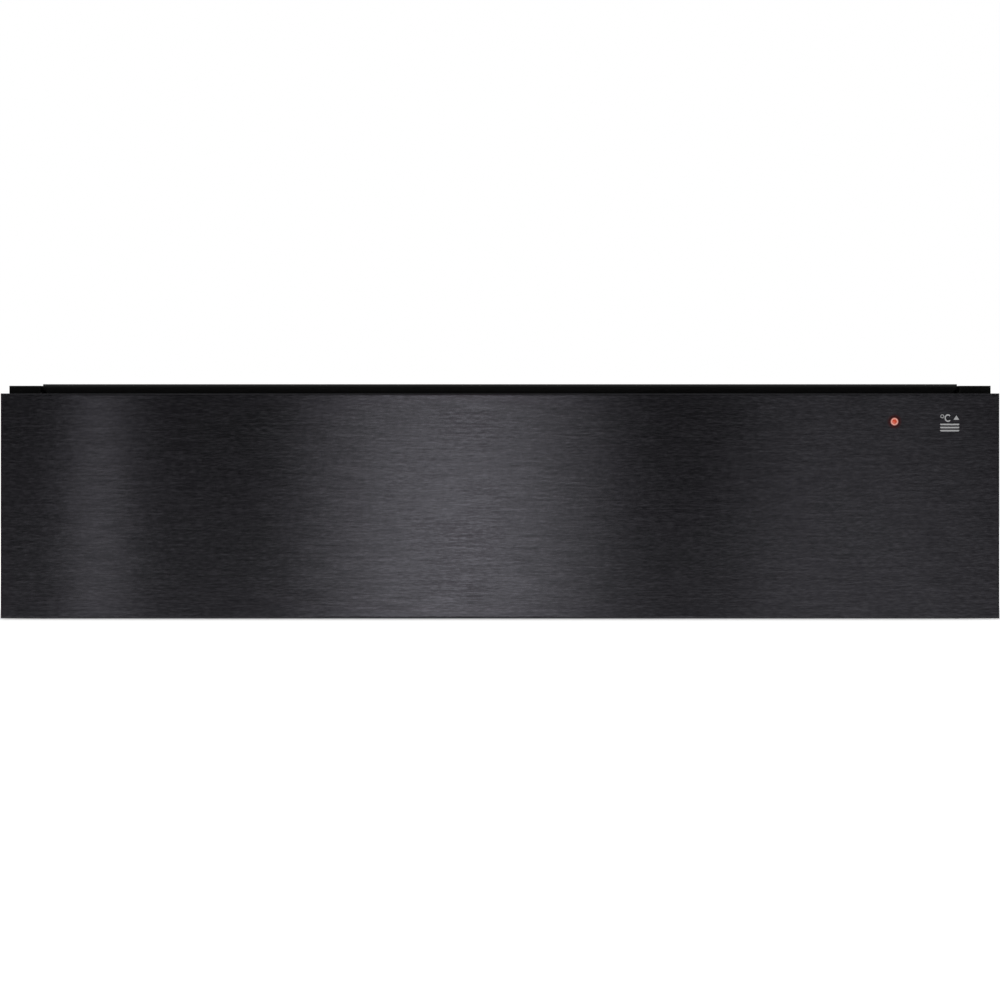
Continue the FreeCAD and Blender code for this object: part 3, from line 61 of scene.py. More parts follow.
class Nodes:
    """Builds one material's node tree."""

    def __init__(self, name):
        self.material = bpy.data.materials.new(name)
        self.material.use_nodes = True
        self.tree = self.material.node_tree
        self.shader = self.tree.nodes["Principled BSDF"]

    def add(self, kind, **settings):
        """Adds a node; settings are its properties or the values of its inputs."""
        node = self.tree.nodes.new(kind)
        for key, value in settings.items():
            if hasattr(node, key):
                setattr(node, key, value)
            else:
                node.inputs[key.replace("_", " ")].default_value = value
        return node

    def link(self, source, target):
        self.tree.links.new(source, target)

    def place(self, scale=(1, 1, 1)):
        """Object coordinates in metres, stretched by scale."""
        coordinates = self.add("ShaderNodeTexCoord")
        mapping = self.add("ShaderNodeMapping")
        mapping.inputs["Scale"].default_value = scale
        self.link(coordinates.outputs["Object"], mapping.inputs["Vector"])
        return mapping.outputs["Vector"]

    def noise(self, scale, at=None, *, detail, rough=0.5):
        """A noise value of about 0.5 on average, over coordinates at."""
        node = self.add("ShaderNodeTexNoise", Scale=scale, Detail=detail, Roughness=rough)
        self.link(at if at is not None else self.place(), node.inputs["Vector"])
        return node.outputs["Fac"]

    def ramp(self, value, stops, kind="LINEAR"):
        """Maps a value to colours; stops are (position, colour or grey)."""
        node = self.add("ShaderNodeValToRGB")
        node.color_ramp.interpolation = kind
        elements = node.color_ramp.elements
        while len(elements) < len(stops):
            elements.new(0.5)
        for element, (position, colour) in zip(elements, stops):
            element.position = position
            grey = isinstance(colour, (int, float))
            element.color = (colour, colour, colour, 1) if grey else (*colour, 1)
        self.link(value, node.inputs["Fac"])
        return node.outputs["Color"]

    def math(self, operation, a, b=0.0):
        node = self.add("ShaderNodeMath", operation=operation)
        for socket, value in zip(node.inputs, (a, b)):
            if isinstance(value, (int, float)):
                socket.default_value = value
            else:
                self.link(value, socket)
        return node.outputs["Value"]

    def mix(self, factor, a, b, blend="MIX"):
        """Mixes two colours; each may be a socket or an RGB triple."""
        node = self.add("ShaderNodeMix", data_type="RGBA", blend_type=blend)
        sockets = (node.inputs[0], node.inputs[6], node.inputs[7])
        for socket, value in zip(sockets, (factor, a, b)):
            if isinstance(value, (int, float)):
                socket.default_value = value
            elif isinstance(value, tuple):
                socket.default_value = (*value, 1)
            else:
                self.link(value, socket)
        return node.outputs[2]

    def bump(self, height, distance, strength):
        node = self.add("ShaderNodeBump", Distance=distance, Strength=strength)
        self.link(height, node.inputs["Height"])
        self.link(node.outputs["Normal"], self.shader.inputs["Normal"])

    def colour(self, socket):
        self.link(socket, self.shader.inputs["Base Color"])

    def roughness(self, socket):
        self.link(socket, self.shader.inputs["Roughness"])

    def set(self, **values):
        for key, value in values.items():
            self.shader.inputs[key.replace("_", " ")].default_value = value


def lamp_distance(n):
    """Distance from the lamp's centre, in centimetres."""
    coordinates = n.add("ShaderNodeTexCoord")
    centre = n.add("ShaderNodeCombineXYZ", X=lamp_at.x, Y=skin_low.y, Z=lamp_at.z)
    away = n.add("ShaderNodeVectorMath", operation="DISTANCE")
    n.link(coordinates.outputs["Object"], away.inputs[0])
    n.link(centre.outputs["Vector"], away.inputs[1])
    return n.math("MULTIPLY", away.outputs["Value"], 1 / CM)


DARK_STEEL_LOW = (0.0165, 0.0161, 0.0184)
DARK_STEEL = (0.0335, 0.0325, 0.0370)
DARK_STEEL_HIGH = (0.0600, 0.0585, 0.0660)
# Painted shade: a flat darker tone for the panel's bends and returns, the faces turned away from
# the front
DARK_STEEL_BEND_SHADE = (0.026, 0.026, 0.028)
DARK_STEEL_ROUGH = 0.22
DARK_STEEL_STRETCH = 1.0
FINE_GRAIN = (260, 260, 1700)
COARSE_GRAIN = (40, 40, 700)
# Painted glow of the pilot lamp: the steel round the lens is tinted red out to this distance
LAMP_HALO = 4.6 * MM
LAMP_HALO_COLOUR = (0.062, 0.010, 0.009)


def brushed_dark_steel():
    """Dark steel with a horizontal brushed grain, which spreads reflections up and down; its bends
    and returns take a painted shade, and a painted red glow of the pilot lamp rings the lens.
    """
    n = Nodes("brushed_dark_steel")
    fine = n.noise(1.0, n.place(FINE_GRAIN), detail=2, rough=0.5)
    coarse = n.noise(1.0, n.place(COARSE_GRAIN), detail=3, rough=0.6)
    grain = n.math("ADD", n.math("MULTIPLY", fine, 0.6), n.math("MULTIPLY", coarse, 0.4))
    colour = n.ramp(grain, [(0.30, DARK_STEEL_LOW), (0.5, DARK_STEEL), (0.70, DARK_STEEL_HIGH)])
    normal = n.add("ShaderNodeSeparateXYZ")
    n.link(n.add("ShaderNodeNewGeometry").outputs["Normal"], normal.inputs["Vector"])
    facing = n.math("ABSOLUTE", normal.outputs["Y"])
    # Painted shade on the bends and returns: faces turned away from the front take a flat darker
    # tone
    colour = n.mix(n.ramp(facing, [(0.70, 1.0), (0.97, 0.0)]), colour, DARK_STEEL_BEND_SHADE)
    # Painted glow: the pilot lamp's red light on the steel round the lens
    glow = n.ramp(lamp_distance(n), [(lens_r / CM, 1.0), (LAMP_HALO / CM, 0.0)])
    colour = n.mix(glow, colour, LAMP_HALO_COLOUR)
    n.colour(colour)
    n.roughness(n.ramp(fine, [(0.25, DARK_STEEL_ROUGH - 0.03), (0.75, DARK_STEEL_ROUGH + 0.03)]))
    n.set(Metallic=1.0, Anisotropic=DARK_STEEL_STRETCH, Specular_Tint=(0.3, 0.3, 0.3, 1))
    tangent = n.add("ShaderNodeCombineXYZ", X=0.0, Y=0.0, Z=1.0)
    n.link(tangent.outputs["Vector"], n.shader.inputs["Tangent"])
    n.bump(grain, 0.00002, 0.35)
    return n.material


def black_powder_coat():
    """Fine-textured satin black powder coat on the housing's walls and cover."""
    n = Nodes("black_powder_coat")
    grit = n.noise(1400.0, detail=3, rough=0.6)
    cloud = n.noise(9.0, detail=2)
    n.colour(n.ramp(cloud, [(0.3, 0.0010), (0.7, 0.0017)]))
    n.roughness(n.ramp(grit, [(0.3, 0.44), (0.7, 0.58)]))
    n.set(Specular_IOR_Level=0.17)
    n.bump(grit, 0.00008, 0.35)
    return n.material


CRYSTALS_PER_METRE = 95.0
CRYSTAL_WOBBLE = 12 * MM


def galvanised_sheet():
    """Zinc-coated sheet with its crystals, faintly streaked by rolling."""
    n = Nodes("galvanised_sheet")
    place = n.place()
    crystals = n.add("ShaderNodeTexVoronoi", Scale=CRYSTALS_PER_METRE)
    wobble = n.add("ShaderNodeTexNoise", Scale=60.0)
    shift = n.add("ShaderNodeVectorMath", operation="SCALE", Scale=CRYSTAL_WOBBLE)
    warp = n.add("ShaderNodeVectorMath", operation="ADD")
    n.link(place, warp.inputs[0])
    n.link(place, wobble.inputs["Vector"])
    n.link(wobble.outputs["Color"], shift.inputs[0])
    n.link(shift.outputs["Vector"], warp.inputs[1])
    n.link(warp.outputs["Vector"], crystals.inputs["Vector"])
    tone = n.add("ShaderNodeSeparateColor")
    n.link(crystals.outputs["Color"], tone.inputs["Color"])
    streak = n.noise(1.0, n.place((400, 6, 400)), detail=3)
    zinc = [(0.0, (0.36, 0.38, 0.40)), (0.6, (0.46, 0.48, 0.50)), (1.0, (0.60, 0.62, 0.63))]
    colour = n.ramp(tone.outputs["Red"], zinc)
    n.colour(n.mix(0.25, colour, n.ramp(streak, [(0.3, 0.36), (0.7, 0.56)])))
    n.roughness(n.ramp(tone.outputs["Green"], [(0.0, 0.30), (1.0, 0.52)]))
    n.set(Metallic=1.0)
    n.bump(crystals.outputs["Distance"], 0.00006, 0.25)
    return n.material


def brushed_metal(name, low, high, rough, grain, spread=0.05):
    """Plain metal with a fine grain; grain is the stretch of the noise along X, Y and Z."""
    n = Nodes(name)
    lines = n.noise(1.0, n.place(grain), detail=4, rough=0.6)
    smear = n.noise(7.0, detail=3)
    colour = n.ramp(lines, [(0.3, low), (0.7, high)])
    n.colour(n.mix(n.math("MULTIPLY", smear, 0.3), colour, low))
    n.roughness(n.ramp(lines, [(0.3, rough - spread), (0.7, rough + spread)]))
    n.set(Metallic=1.0)
    n.bump(lines, 0.00003, 0.3)
    return n.material


def satin_stainless():
    """Brushed stainless sheet; the grain runs level along every wall of the box."""
    n = Nodes("satin_stainless")
    across = n.noise(1.0, n.place((40, 1500, 1500)), detail=3, rough=0.6)
    along = n.noise(1.0, n.place((1500, 40, 1500)), detail=3, rough=0.6)
    normal = n.add("ShaderNodeSeparateXYZ")
    n.link(n.add("ShaderNodeTexCoord").outputs["Normal"], normal.inputs["Vector"])
    side = n.math("GREATER_THAN", n.math("ABSOLUTE", normal.outputs["X"]), 0.6)
    across = n.math("MULTIPLY", across, n.math("SUBTRACT", 1.0, side))
    grain = n.math("ADD", n.math("MULTIPLY", along, side), across)
    smear = n.noise(6.0, detail=3)
    colour = n.ramp(grain, [(0.3, (0.54, 0.54, 0.535)), (0.7, (0.70, 0.70, 0.69))])
    n.colour(n.mix(n.math("MULTIPLY", smear, 0.25), colour, (0.52, 0.52, 0.51)))
    n.roughness(n.ramp(grain, [(0.3, 0.30), (0.7, 0.40)]))
    n.set(Metallic=1.0)
    n.bump(grain, 0.00003, 0.3)
    return n.material


def moulded_plastic(name, colour, rough, grain=2200.0):
    """Moulded plastic with a fine spark-eroded texture."""
    n = Nodes(name)
    texture = n.noise(grain, detail=3, rough=0.55)
    cloud = n.noise(30.0, detail=2)
    dark = tuple(c * 0.8 for c in colour)
    n.colour(n.ramp(cloud, [(0.3, dark), (0.7, colour)]))
    n.roughness(n.ramp(texture, [(0.3, rough - 0.06), (0.7, rough + 0.06)]))
    n.set(Specular_IOR_Level=0.4)
    n.bump(texture, 0.00006, 0.3)
    return n.material


def mat_rubber():
    """Dull dark rubber with a trace of dust in its texture."""
    n = Nodes("mat_rubber")
    texture = n.noise(900.0, detail=4, rough=0.65)
    dust = n.noise(16.0, detail=4, rough=0.6)
    n.colour(n.ramp(dust, [(0.25, (0.034, 0.034, 0.036)), (0.8, (0.048, 0.048, 0.050))]))
    n.roughness(n.ramp(texture, [(0.3, 0.68), (0.7, 0.86)]))
    n.set(Specular_IOR_Level=0.25)
    n.bump(texture, 0.00008, 0.5)
    return n.material


def heat_darkened():
    """Oxidised steel of the heating element, with brown and blue heat tints."""
    n = Nodes("heat_darkened_steel")
    tint = n.noise(38.0, detail=3)
    pits = n.noise(1600.0, detail=3)
    grey, brown, blue = (0.050, 0.042, 0.038), (0.090, 0.070, 0.058), (0.060, 0.065, 0.085)
    n.colour(n.ramp(tint, [(0.3, grey), (0.5, brown), (0.72, blue)]))
    n.roughness(n.ramp(pits, [(0.3, 0.38), (0.7, 0.60)]))
    n.set(Metallic=0.85)
    n.bump(pits, 0.00005, 0.4)
    return n.material


LAMINATION = 1 * MM


def laminations():
    """Stack of iron laminations: dark lines across the motor's core."""
    n = Nodes("iron_laminations")
    coordinates = n.add("ShaderNodeTexCoord")
    split = n.add("ShaderNodeSeparateXYZ")
    n.link(coordinates.outputs["Object"], split.inputs["Vector"])
    phase = n.math("MULTIPLY", split.outputs["Y"], 2 * math.pi / LAMINATION)
    line = n.math("POWER", n.math("ABSOLUTE", n.math("SINE", phase)), 0.35)
    speckle = n.noise(500.0, detail=3)
    colour = n.ramp(line, [(0.2, (0.035, 0.035, 0.038)), (0.7, (0.17, 0.17, 0.18))])
    n.colour(n.mix(n.math("MULTIPLY", speckle, 0.35), colour, (0.11, 0.09, 0.08)))
    n.roughness(n.ramp(speckle, [(0.3, 0.42), (0.7, 0.6)]))
    n.set(Metallic=0.9)
    n.bump(line, 0.0001, 0.5)
    return n.material


def copper_wire():
    """Enamelled copper, slightly darker between the turns."""
    # Enamelled copper, its tone varying at random.
    n = Nodes("enamelled_copper")
    tone = n.noise(260.0, detail=3)
    n.colour(n.ramp(tone, [(0.3, (0.36, 0.13, 0.055)), (0.7, (0.55, 0.22, 0.09))]))
    n.roughness(n.ramp(tone, [(0.3, 0.22), (0.7, 0.36)]))
    n.set(Metallic=0.9, Coat_Weight=0.5, Coat_Roughness=0.1)
    return n.material


def glazed_ceramic():
    """White glazed ceramic of the element's bushes."""
    n = Nodes("glazed_ceramic")
    tone = n.noise(120.0, detail=3)
    n.colour(n.ramp(tone, [(0.3, (0.66, 0.64, 0.58)), (0.7, (0.78, 0.76, 0.71))]))
    n.roughness(n.ramp(tone, [(0.3, 0.14), (0.7, 0.26)]))
    n.bump(tone, 0.0001, 0.3)
    return n.material


def mineral_fibre():
    """Compressed pale mineral fibre."""
    n = Nodes("mineral_fibre")
    fibres = n.noise(1.0, n.place((900, 900, 300)), detail=5, rough=0.7)
    cloud = n.noise(26.0, detail=3)
    colour = n.ramp(cloud, [(0.3, (0.50, 0.44, 0.28)), (0.7, (0.66, 0.60, 0.42))])
    n.colour(n.mix(0.35, colour, n.ramp(fibres, [(0.3, 0.30), (0.7, 0.75)])))
    n.roughness(n.ramp(fibres, [(0.3, 0.85), (0.7, 0.97)]))
    n.bump(fibres, 0.0005, 0.8)
    return n.material


LAMP_GLOW = 0.35


def lit_plastic(name, stops):
    """Plastic lit from inside; stops are (distance from the lamp's axis, colour)."""
    n = Nodes(name)
    tone = n.noise(900.0, detail=2)
    shade = n.ramp(lamp_distance(n), [(at / CM, colour) for at, colour in stops])
    shade = n.mix(0.12, shade, n.ramp(tone, [(0.3, 0.0), (0.7, 1.0)]), "MULTIPLY")
    n.colour(shade)
    n.link(shade, n.shader.inputs["Emission Color"])
    n.roughness(n.ramp(tone, [(0.3, 0.18), (0.7, 0.30)]))
    n.set(Emission_Strength=LAMP_GLOW)
    return n.material


def printed_ink(name, colour):
    """Screen-printed ink, very slightly uneven in tone."""
    n = Nodes(name)
    tone = n.noise(2400.0, detail=2)
    faint = tuple(c * 0.86 for c in colour)
    n.colour(n.ramp(tone, [(0.3, faint), (0.7, colour)]))
    n.roughness(n.ramp(tone, [(0.3, 0.50), (0.7, 0.65)]))
    return n.material


LENS_COLOURS = [
    (1.50 * MM, (0.50, 0.16, 0.11)),
    (1.75 * MM, (0.58, 0.285, 0.235)),
    (2.10 * MM, (0.37, 0.14, 0.11)),
    (2.40 * MM, (0.10, 0.015, 0.01)),
]
GLOW_COLOURS = [(0.0, (0.47, 0.062, 0.027)), (1.2 * MM, (0.35, 0.036, 0.014))]
EVEN_GRAIN = (900, 900, 900)

MATERIALS = {
    "front": brushed_dark_steel(),
    "coat": black_powder_coat(),
    "zinc_sheet": galvanised_sheet(),
    "stainless": satin_stainless(),
    "plated": brushed_metal(
        "zinc_plated_steel", (0.42, 0.43, 0.44), (0.58, 0.59, 0.60), 0.27, (900, 30, 900)
    ),
    "screw": brushed_metal("zinc_screw", (0.24, 0.25, 0.27), (0.42, 0.43, 0.45), 0.28, EVEN_GRAIN),
    "ball": brushed_metal(
        "bearing_ball", (0.50, 0.50, 0.51), (0.62, 0.62, 0.63), 0.10, EVEN_GRAIN, spread=0.03
    ),
    "aluminised": brushed_metal(
        "aluminised_steel", (0.44, 0.45, 0.46), (0.60, 0.61, 0.62), 0.40, (200, 200, 900)
    ),
    "aluminium": brushed_metal(
        "pressed_aluminium", (0.56, 0.57, 0.58), (0.72, 0.73, 0.74), 0.32, (500, 500, 500)
    ),
    "grille": moulded_plastic("grille_paint", (0.055, 0.055, 0.058), 0.5, 1600.0),
    "console": moulded_plastic("console_plastic", (0.022, 0.022, 0.024), 0.48),
    "knob": moulded_plastic("knob_plastic", (0.035, 0.035, 0.038), 0.36, 3000.0),
    "latch": moulded_plastic("latch_plastic", (0.030, 0.030, 0.032), 0.42),
    "plunger": moulded_plastic("plunger_plastic", (0.34, 0.34, 0.35), 0.40),
    "pale_plastic": moulded_plastic("terminal_plastic", (0.62, 0.60, 0.54), 0.38),
    "bakelite": moulded_plastic("thermostat_case", (0.10, 0.060, 0.038), 0.34),
    "rubber": mat_rubber(),
    "heater": heat_darkened(),
    "core": laminations(),
    "copper": copper_wire(),
    "ceramic": glazed_ceramic(),
    "fibre": mineral_fibre(),
    "lens": lit_plastic("lens_plastic", LENS_COLOURS),
    "glow": lit_plastic("lamp_glow", GLOW_COLOURS),
    "ink": printed_ink("panel_ink", (0.30, 0.30, 0.305)),
    "white_ink": printed_ink("console_ink", (0.62, 0.62, 0.62)),
}


def both(*parts):
    """The names of the left and right nodes of some parts."""
    return [f"{side}_{part}" for part in parts for side in ("left", "right")]


NODE_MATERIALS = {
    "front": ["front_skin"],
    "coat": [*both("side_wall"), "top_cover"],
    "zinc_sheet": ["base_tray", "back_wall", "front_tray"],
    "stainless": ["drawer_box"],
    "plated": [
        "motor_brackets", "motor_rotor", "thermostat_shaft", "thermal_cutout",
        *both("slide_outer", "slide_middle", "slide_inner"),
        *both("outer_ball_cage", "inner_ball_cage", "striker_plate"),
    ],
    "aluminised": ["air_box"],
    "aluminium": ["fan_wheel"],
    "grille": ["air_grille"],
    "console": ["lamp_holder"],
    "knob": ["switch_body"],
    "latch": both("latch_body"),
    "plunger": both("latch_plunger"),
    "pale_plastic": ["terminal_block"],
    "bakelite": ["thermostat_body"],
    "heater": ["heating_element"],
    "core": ["motor_core"],
    "ceramic": ["heater_terminals"],
    "fibre": ["front_pad"],
    "glow": ["neon_lamp"],
}


def dress_nodes():
    """Gives every CAD node that stays its material."""
    for finish, names in NODE_MATERIALS.items():
        for name in names:
            mesh = nodes[name].data
            mesh.materials.clear()
            mesh.materials.append(MATERIALS[finish])


# Pieces


def piece(name, mesh, body, finish):
    """Adds a mesh object that rides on a body."""
    made = bpy.data.objects.new(name, mesh)
    bpy.context.scene.collection.objects.link(made)
    mesh.materials.append(MATERIALS[finish])
    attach(made, body)
    return made


def to_mesh(name, bm, smooth=40.0):
    """Turns a bmesh into a mesh, smooth-shaded except over edges sharper than smooth degrees."""
    bmesh.ops.recalc_face_normals(bm, faces=bm.faces)
    limit = math.radians(smooth)
    for edge in bm.edges:
        edge.smooth = len(edge.link_faces) != 2 or edge.calc_face_angle(0) < limit
    for face in bm.faces:
        face.smooth = True
    mesh = bpy.data.meshes.new(name)
    bm.to_mesh(mesh)
    bm.free()
    return mesh


def axes(direction):
    """Two directions that make a right-handed set with direction."""
    direction = direction.normalized()
    side = direction.orthogonal().normalized()
    return side, direction.cross(side), direction


def circle(centre, direction, radius, count):
    """Points on a circle about an axis."""
    side, other, _ = axes(direction)
    return [
        centre + side * (radius * math.cos(t)) + other * (radius * math.sin(t))
        for t in (2 * math.pi * i / count for i in range(count))
    ]


def revolve(bm, centre, direction, profile, count):
    """Turns a profile of (radius, height) about an axis; radius 0 closes it."""
    rings = []
    for radius, height in profile:
        at = centre + direction.normalized() * height
        points = circle(at, direction, radius, count) if radius else [at]
        rings.append([bm.verts.new(p) for p in points])
    for low, high in zip(rings, rings[1:]):
        for i in range(count):
            j = (i + 1) % count
            corners = [low[i % len(low)], low[j % len(low)]]
            corners += [high[j % len(high)], high[i % len(high)]]
            unique = list(dict.fromkeys(corners))
            if len(unique) > 2:
                bm.faces.new(unique)


def extrude_outline(bm, points, push):
    """A closed outline of points pushed along push, with both ends closed."""
    low = [bm.verts.new(p) for p in points]
    high = [bm.verts.new(p + push) for p in points]
    bm.faces.new(low)
    bm.faces.new(high[::-1])
    for i in range(len(points)):
        j = (i + 1) % len(points)
        bm.faces.new([low[i], low[j], high[j], high[i]])


def inset_outline(points, inset, corner, steps=4):
    """A convex anticlockwise outline moved in by inset; its corners' radius is corner - inset."""
    made = []
    for i, point in enumerate(points):
        before, after = point - points[i - 1], points[(i + 1) % len(points)] - point
        first, last = (Vector((-way.y, way.x)).normalized() for way in (before, after))
        centre = point + (first + last) * (corner / (1 + first.dot(last)))
        start = math.atan2(-first.y, -first.x)
        sweep = math.acos(max(-1.0, min(1.0, first.dot(last))))
        for k in range(steps + 1):
            a = start + sweep * k / steps
            made.append(centre + Vector((math.cos(a), math.sin(a))) * (corner - inset))
    return made


def loft(bm, levels, ends=True):
    """Skins rings of equally many points; the two ends are closed, or joined to each other."""
    rings = [[bm.verts.new(p) for p in level] for level in levels]
    for low, high in zip(rings, rings[1:] if ends else rings[1:] + rings[:1]):
        for i in range(len(low)):
            j = (i + 1) % len(low)
            bm.faces.new([low[i], low[j], high[j], high[i]])
    if ends:
        bm.faces.new(rings[-1])
        bm.faces.new(rings[0][::-1])


# Pilot lamp


LENS_INNER = 1.3 * MM
LENS_BULGE = 0.28 * MM
LENS_DEPTH = lens_high.y - lens_low.y - LENS_BULGE
BUTTON_GAP = 0.03 * MM
BUTTON_BULGE = LENS_BULGE * 0.6
DOME_STEPS = 6


def dome(name, inner, outer, bulge, finish):
    """A rounded ring, or a button where inner is 0, around the lamp's axis."""
    bm = bmesh.new()
    back = (inner, -LENS_DEPTH)
    profile = [back] if inner else []
    for i in range(DOME_STEPS + 1):
        t = i / DOME_STEPS
        rise = math.sin(math.pi * t) if inner else math.cos(math.pi * t / 2)
        profile.append((inner + (outer - inner) * t, bulge * rise))
    profile += [(outer, -LENS_DEPTH), back]
    revolve(bm, Vector((lamp_at.x, lens_low.y + bulge, lamp_at.z)), FRONT, profile, 48)
    bmesh.ops.remove_doubles(bm, verts=bm.verts, dist=1e-7)
    return piece(name, to_mesh(name, bm), "drawer", finish)


def pilot_lamp():
    """The lens as a pale ring round a glowing button."""
    ring = dome("lamp_lens_ring", LENS_INNER, lens_r, LENS_BULGE, "lens")
    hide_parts("lamp_lens")
    dome("lamp_button", 0, LENS_INNER - BUTTON_GAP, BUTTON_BULGE, "glow")


# The printed mark on the front: degree sign, letter C, triangle and three bars.
# IN is from the mark's end, DOWN from its top, ALONG from its left end.


INK = 0.03 * MM
MARK_X = skin_high.x - 29.6 * MM
MARK_TOP = skin_high.z - 12.3 * MM
MARK_HALF_W = 5.75 * MM
DEGREE_IN = 1.35 * MM
DEGREE_OUTER = 1.13 * MM
DEGREE_INNER = 0.71 * MM
C_ALONG = 4.70 * MM
C_DOWN = 2.40 * MM
C_R = 1.88 * MM
C_STROKE = 0.80 * MM
C_FROM = 42
C_SQUEEZE = 0.88
PEAK_IN = 1.8 * MM
PEAK_DOWN = 0.8 * MM
PEAK_FOOT = 3.4 * MM
PEAK_HALF_W = 1.75 * MM
BARS = 3
BARS_DOWN = 6.2 * MM
BAR_PITCH = 1.85 * MM
BAR_HALF_H = 0.46 * MM
BAR_SLANT = 0.45 * MM


def flat_outline(bm, points):
    """A printed shape on the front; points are (x, z)."""
    extrude_outline(bm, [Vector((x, skin_low.y, z)) for x, z in points], FRONT * INK)


def arc_points(radius, first, last, count=40):
    """Points on an arc round the origin from first to last, in degrees."""
    return [
        (radius * math.cos(math.radians(a)), radius * math.sin(math.radians(a)))
        for a in (first + (last - first) * i / count for i in range(count + 1))
    ]


def printed_ring(bm, centre, up, outer, inner, push):
    """A printed ring in the plane of X and up."""
    def ring(radius, lift):
        flat = arc_points(radius, 0, 360)[:-1]
        return [centre + RIGHT * x + up * y + push * lift for x, y in flat]

    loft(bm, [ring(outer, 0), ring(outer, 1), ring(inner, 1), ring(inner, 0)], ends=False)


def front_mark():
    """The light grey mark to the right of the lamp."""
    bm = bmesh.new()
    left, right = MARK_X - MARK_HALF_W, MARK_X + MARK_HALF_W
    degree = Vector((left + DEGREE_IN, skin_low.y, MARK_TOP - DEGREE_IN))
    printed_ring(bm, degree, UP, DEGREE_OUTER, DEGREE_INNER, FRONT * INK)
    stroke = arc_points(C_R + C_STROKE / 2, C_FROM, 360 - C_FROM)
    stroke += arc_points(C_R - C_STROKE / 2, 360 - C_FROM, C_FROM)
    x, z = left + C_ALONG, MARK_TOP - C_DOWN
    flat_outline(bm, [(x + p * C_SQUEEZE, z + q) for p, q in stroke])
    x, z = right - PEAK_IN, MARK_TOP - PEAK_FOOT
    foot = [(x - PEAK_HALF_W, z), (x + PEAK_HALF_W, z)]
    flat_outline(bm, [*foot, (x, MARK_TOP - PEAK_DOWN)])
    ends = [(BAR_SLANT, -BAR_HALF_H), (0, 0), (BAR_SLANT * 0.3, BAR_HALF_H)]
    for i in range(BARS):
        z = MARK_TOP - BARS_DOWN - BAR_PITCH * i
        outline = [(right - p, z + q) for p, q in ends]
        outline += [(left + p, z + q) for p, q in ends[::-1]]
        flat_outline(bm, outline)
    piece("front_mark", to_mesh("front_mark", bm, 20), "drawer", "ink")


# Screws, balls, winding, mat, moulded pieces and controls


# Profiles of a screw's head: (share of its width, share of its height)
SCREW_WASHER = ((0, 0), (0.60, 0), (0.60, 0.16), (0.50, 0.26), (0, 0.27))
SCREW_HEXAGON = ((1, 0.2), (1, 0.88), (0.9, 1), (0.55, 1), (0.45, 0.8))
HEXAGON_SHARE = 0.93


def hex_screw(bm, seat, direction, across, height):
    """A hexagon-flange screw: washer face, bevelled hexagon and a dished top."""
    washer = [(across * r, height * h) for r, h in SCREW_WASHER]
    revolve(bm, seat, direction, washer, 24)
    radius = across / math.sqrt(3) * HEXAGON_SHARE
    loft(bm, [
        circle(seat + direction * (height * h), direction, radius * r, 6)
        for r, h in SCREW_HEXAGON
    ])


def islands(node):
    """Boxes of the separate solids in a CAD node, as (low, high) corners."""
    bm = bmesh.new()
    bm.from_mesh(nodes[node].data)
    bmesh.ops.remove_doubles(bm, verts=bm.verts, dist=1e-6)
    seen, found = set(), []
    for start in bm.verts:
        if start in seen:
            continue
        stack, group = [start], []
        seen.add(start)
        while stack:
            vertex = stack.pop()
            group.append(vertex.co.copy())
            for edge in vertex.link_edges:
                other = edge.other_vert(vertex)
                if other not in seen:
                    seen.add(other)
                    stack.append(other)
        low = Vector(min(c[i] for c in group) for i in range(3))
        high = Vector(max(c[i] for c in group) for i in range(3))
        found.append((low, high))
    bm.free()
    return found


def screws():
    """Replaces each group of plain hexagons with finished screws."""
    for node, body, direction in (
        ("cover_screws", "housing", None),
        ("back_wall_screws", "housing", -FRONT),
        ("latch_screws", "housing", FRONT),
        ("panel_screws", "drawer", -FRONT),
        ("grille_screws", "drawer", FRONT),
    ):
        bm = bmesh.new()
        for low, high in islands(node):
            centre = (low + high) / 2
            way = direction or RIGHT * math.copysign(1, centre.x)
            size = high - low
            height = abs(size.dot(way))
            across = min(size[i] for i in range(3) if abs(way[i]) < 0.5)
            hex_screw(bm, centre - way * (height / 2), way, across, height)
        name = node + "_finished"
        made = piece(name, to_mesh(name, bm, 30), body, "screw")
        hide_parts(node)


CAGE_POCKETS = 3
# Each cage's balls: radius, place in from the slide's wall, and in from the cage's edges
CAGE_BALLS = {
    "outer": (2.0 * MM, 8.4 * MM, 0.7 * MM),
    "inner": (1.75 * MM, 4.85 * MM, 0.2 * MM),
}


def slide_balls():
    """Balls in the pockets of the slides' cages; they ride with their cage."""
    for side in ("left", "right"):
        sign = 1 if side == "right" else -1
        outer_low, outer_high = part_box(f"{side}_slide_outer")
        middle_z = (outer_low.z + outer_high.z) / 2
        wall = outer_high.x if sign > 0 else outer_low.x
        for kind, (radius, inward, inset) in CAGE_BALLS.items():
            low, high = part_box(f"{side}_{kind}_ball_cage")
            up = (high.z - low.z) / 2 - inset
            pitch = (high.y - low.y) / CAGE_POCKETS
            bm = bmesh.new()
            for i in range(CAGE_POCKETS):
                y = low.y + (i + 0.5) * pitch
                for row in (-1, 1):
                    at = Matrix.Translation((wall - sign * inward, y, middle_z + row * up))
                    bmesh.ops.create_icosphere(bm, subdivisions=3, radius=radius, matrix=at)
            name = f"{side}_{kind}_balls"
            piece(name, to_mesh(name, bm, 180), f"{side}_{kind}_cage", "ball")


def round_rectangle(across, along, radius, steps):
    """(x, y, turn) round a rectangle; the corners' centres are at across and along."""
    return [
        (x + radius * math.cos(a), y + radius * math.sin(a), a)
        for x, y, first in (
            (across[1], along[1], 0), (across[0], along[1], 90),
            (across[0], along[0], 180), (across[1], along[0], 270),
        )
        for a in (math.radians(first + 90 * k / steps) for k in range(steps + 1))
    ]


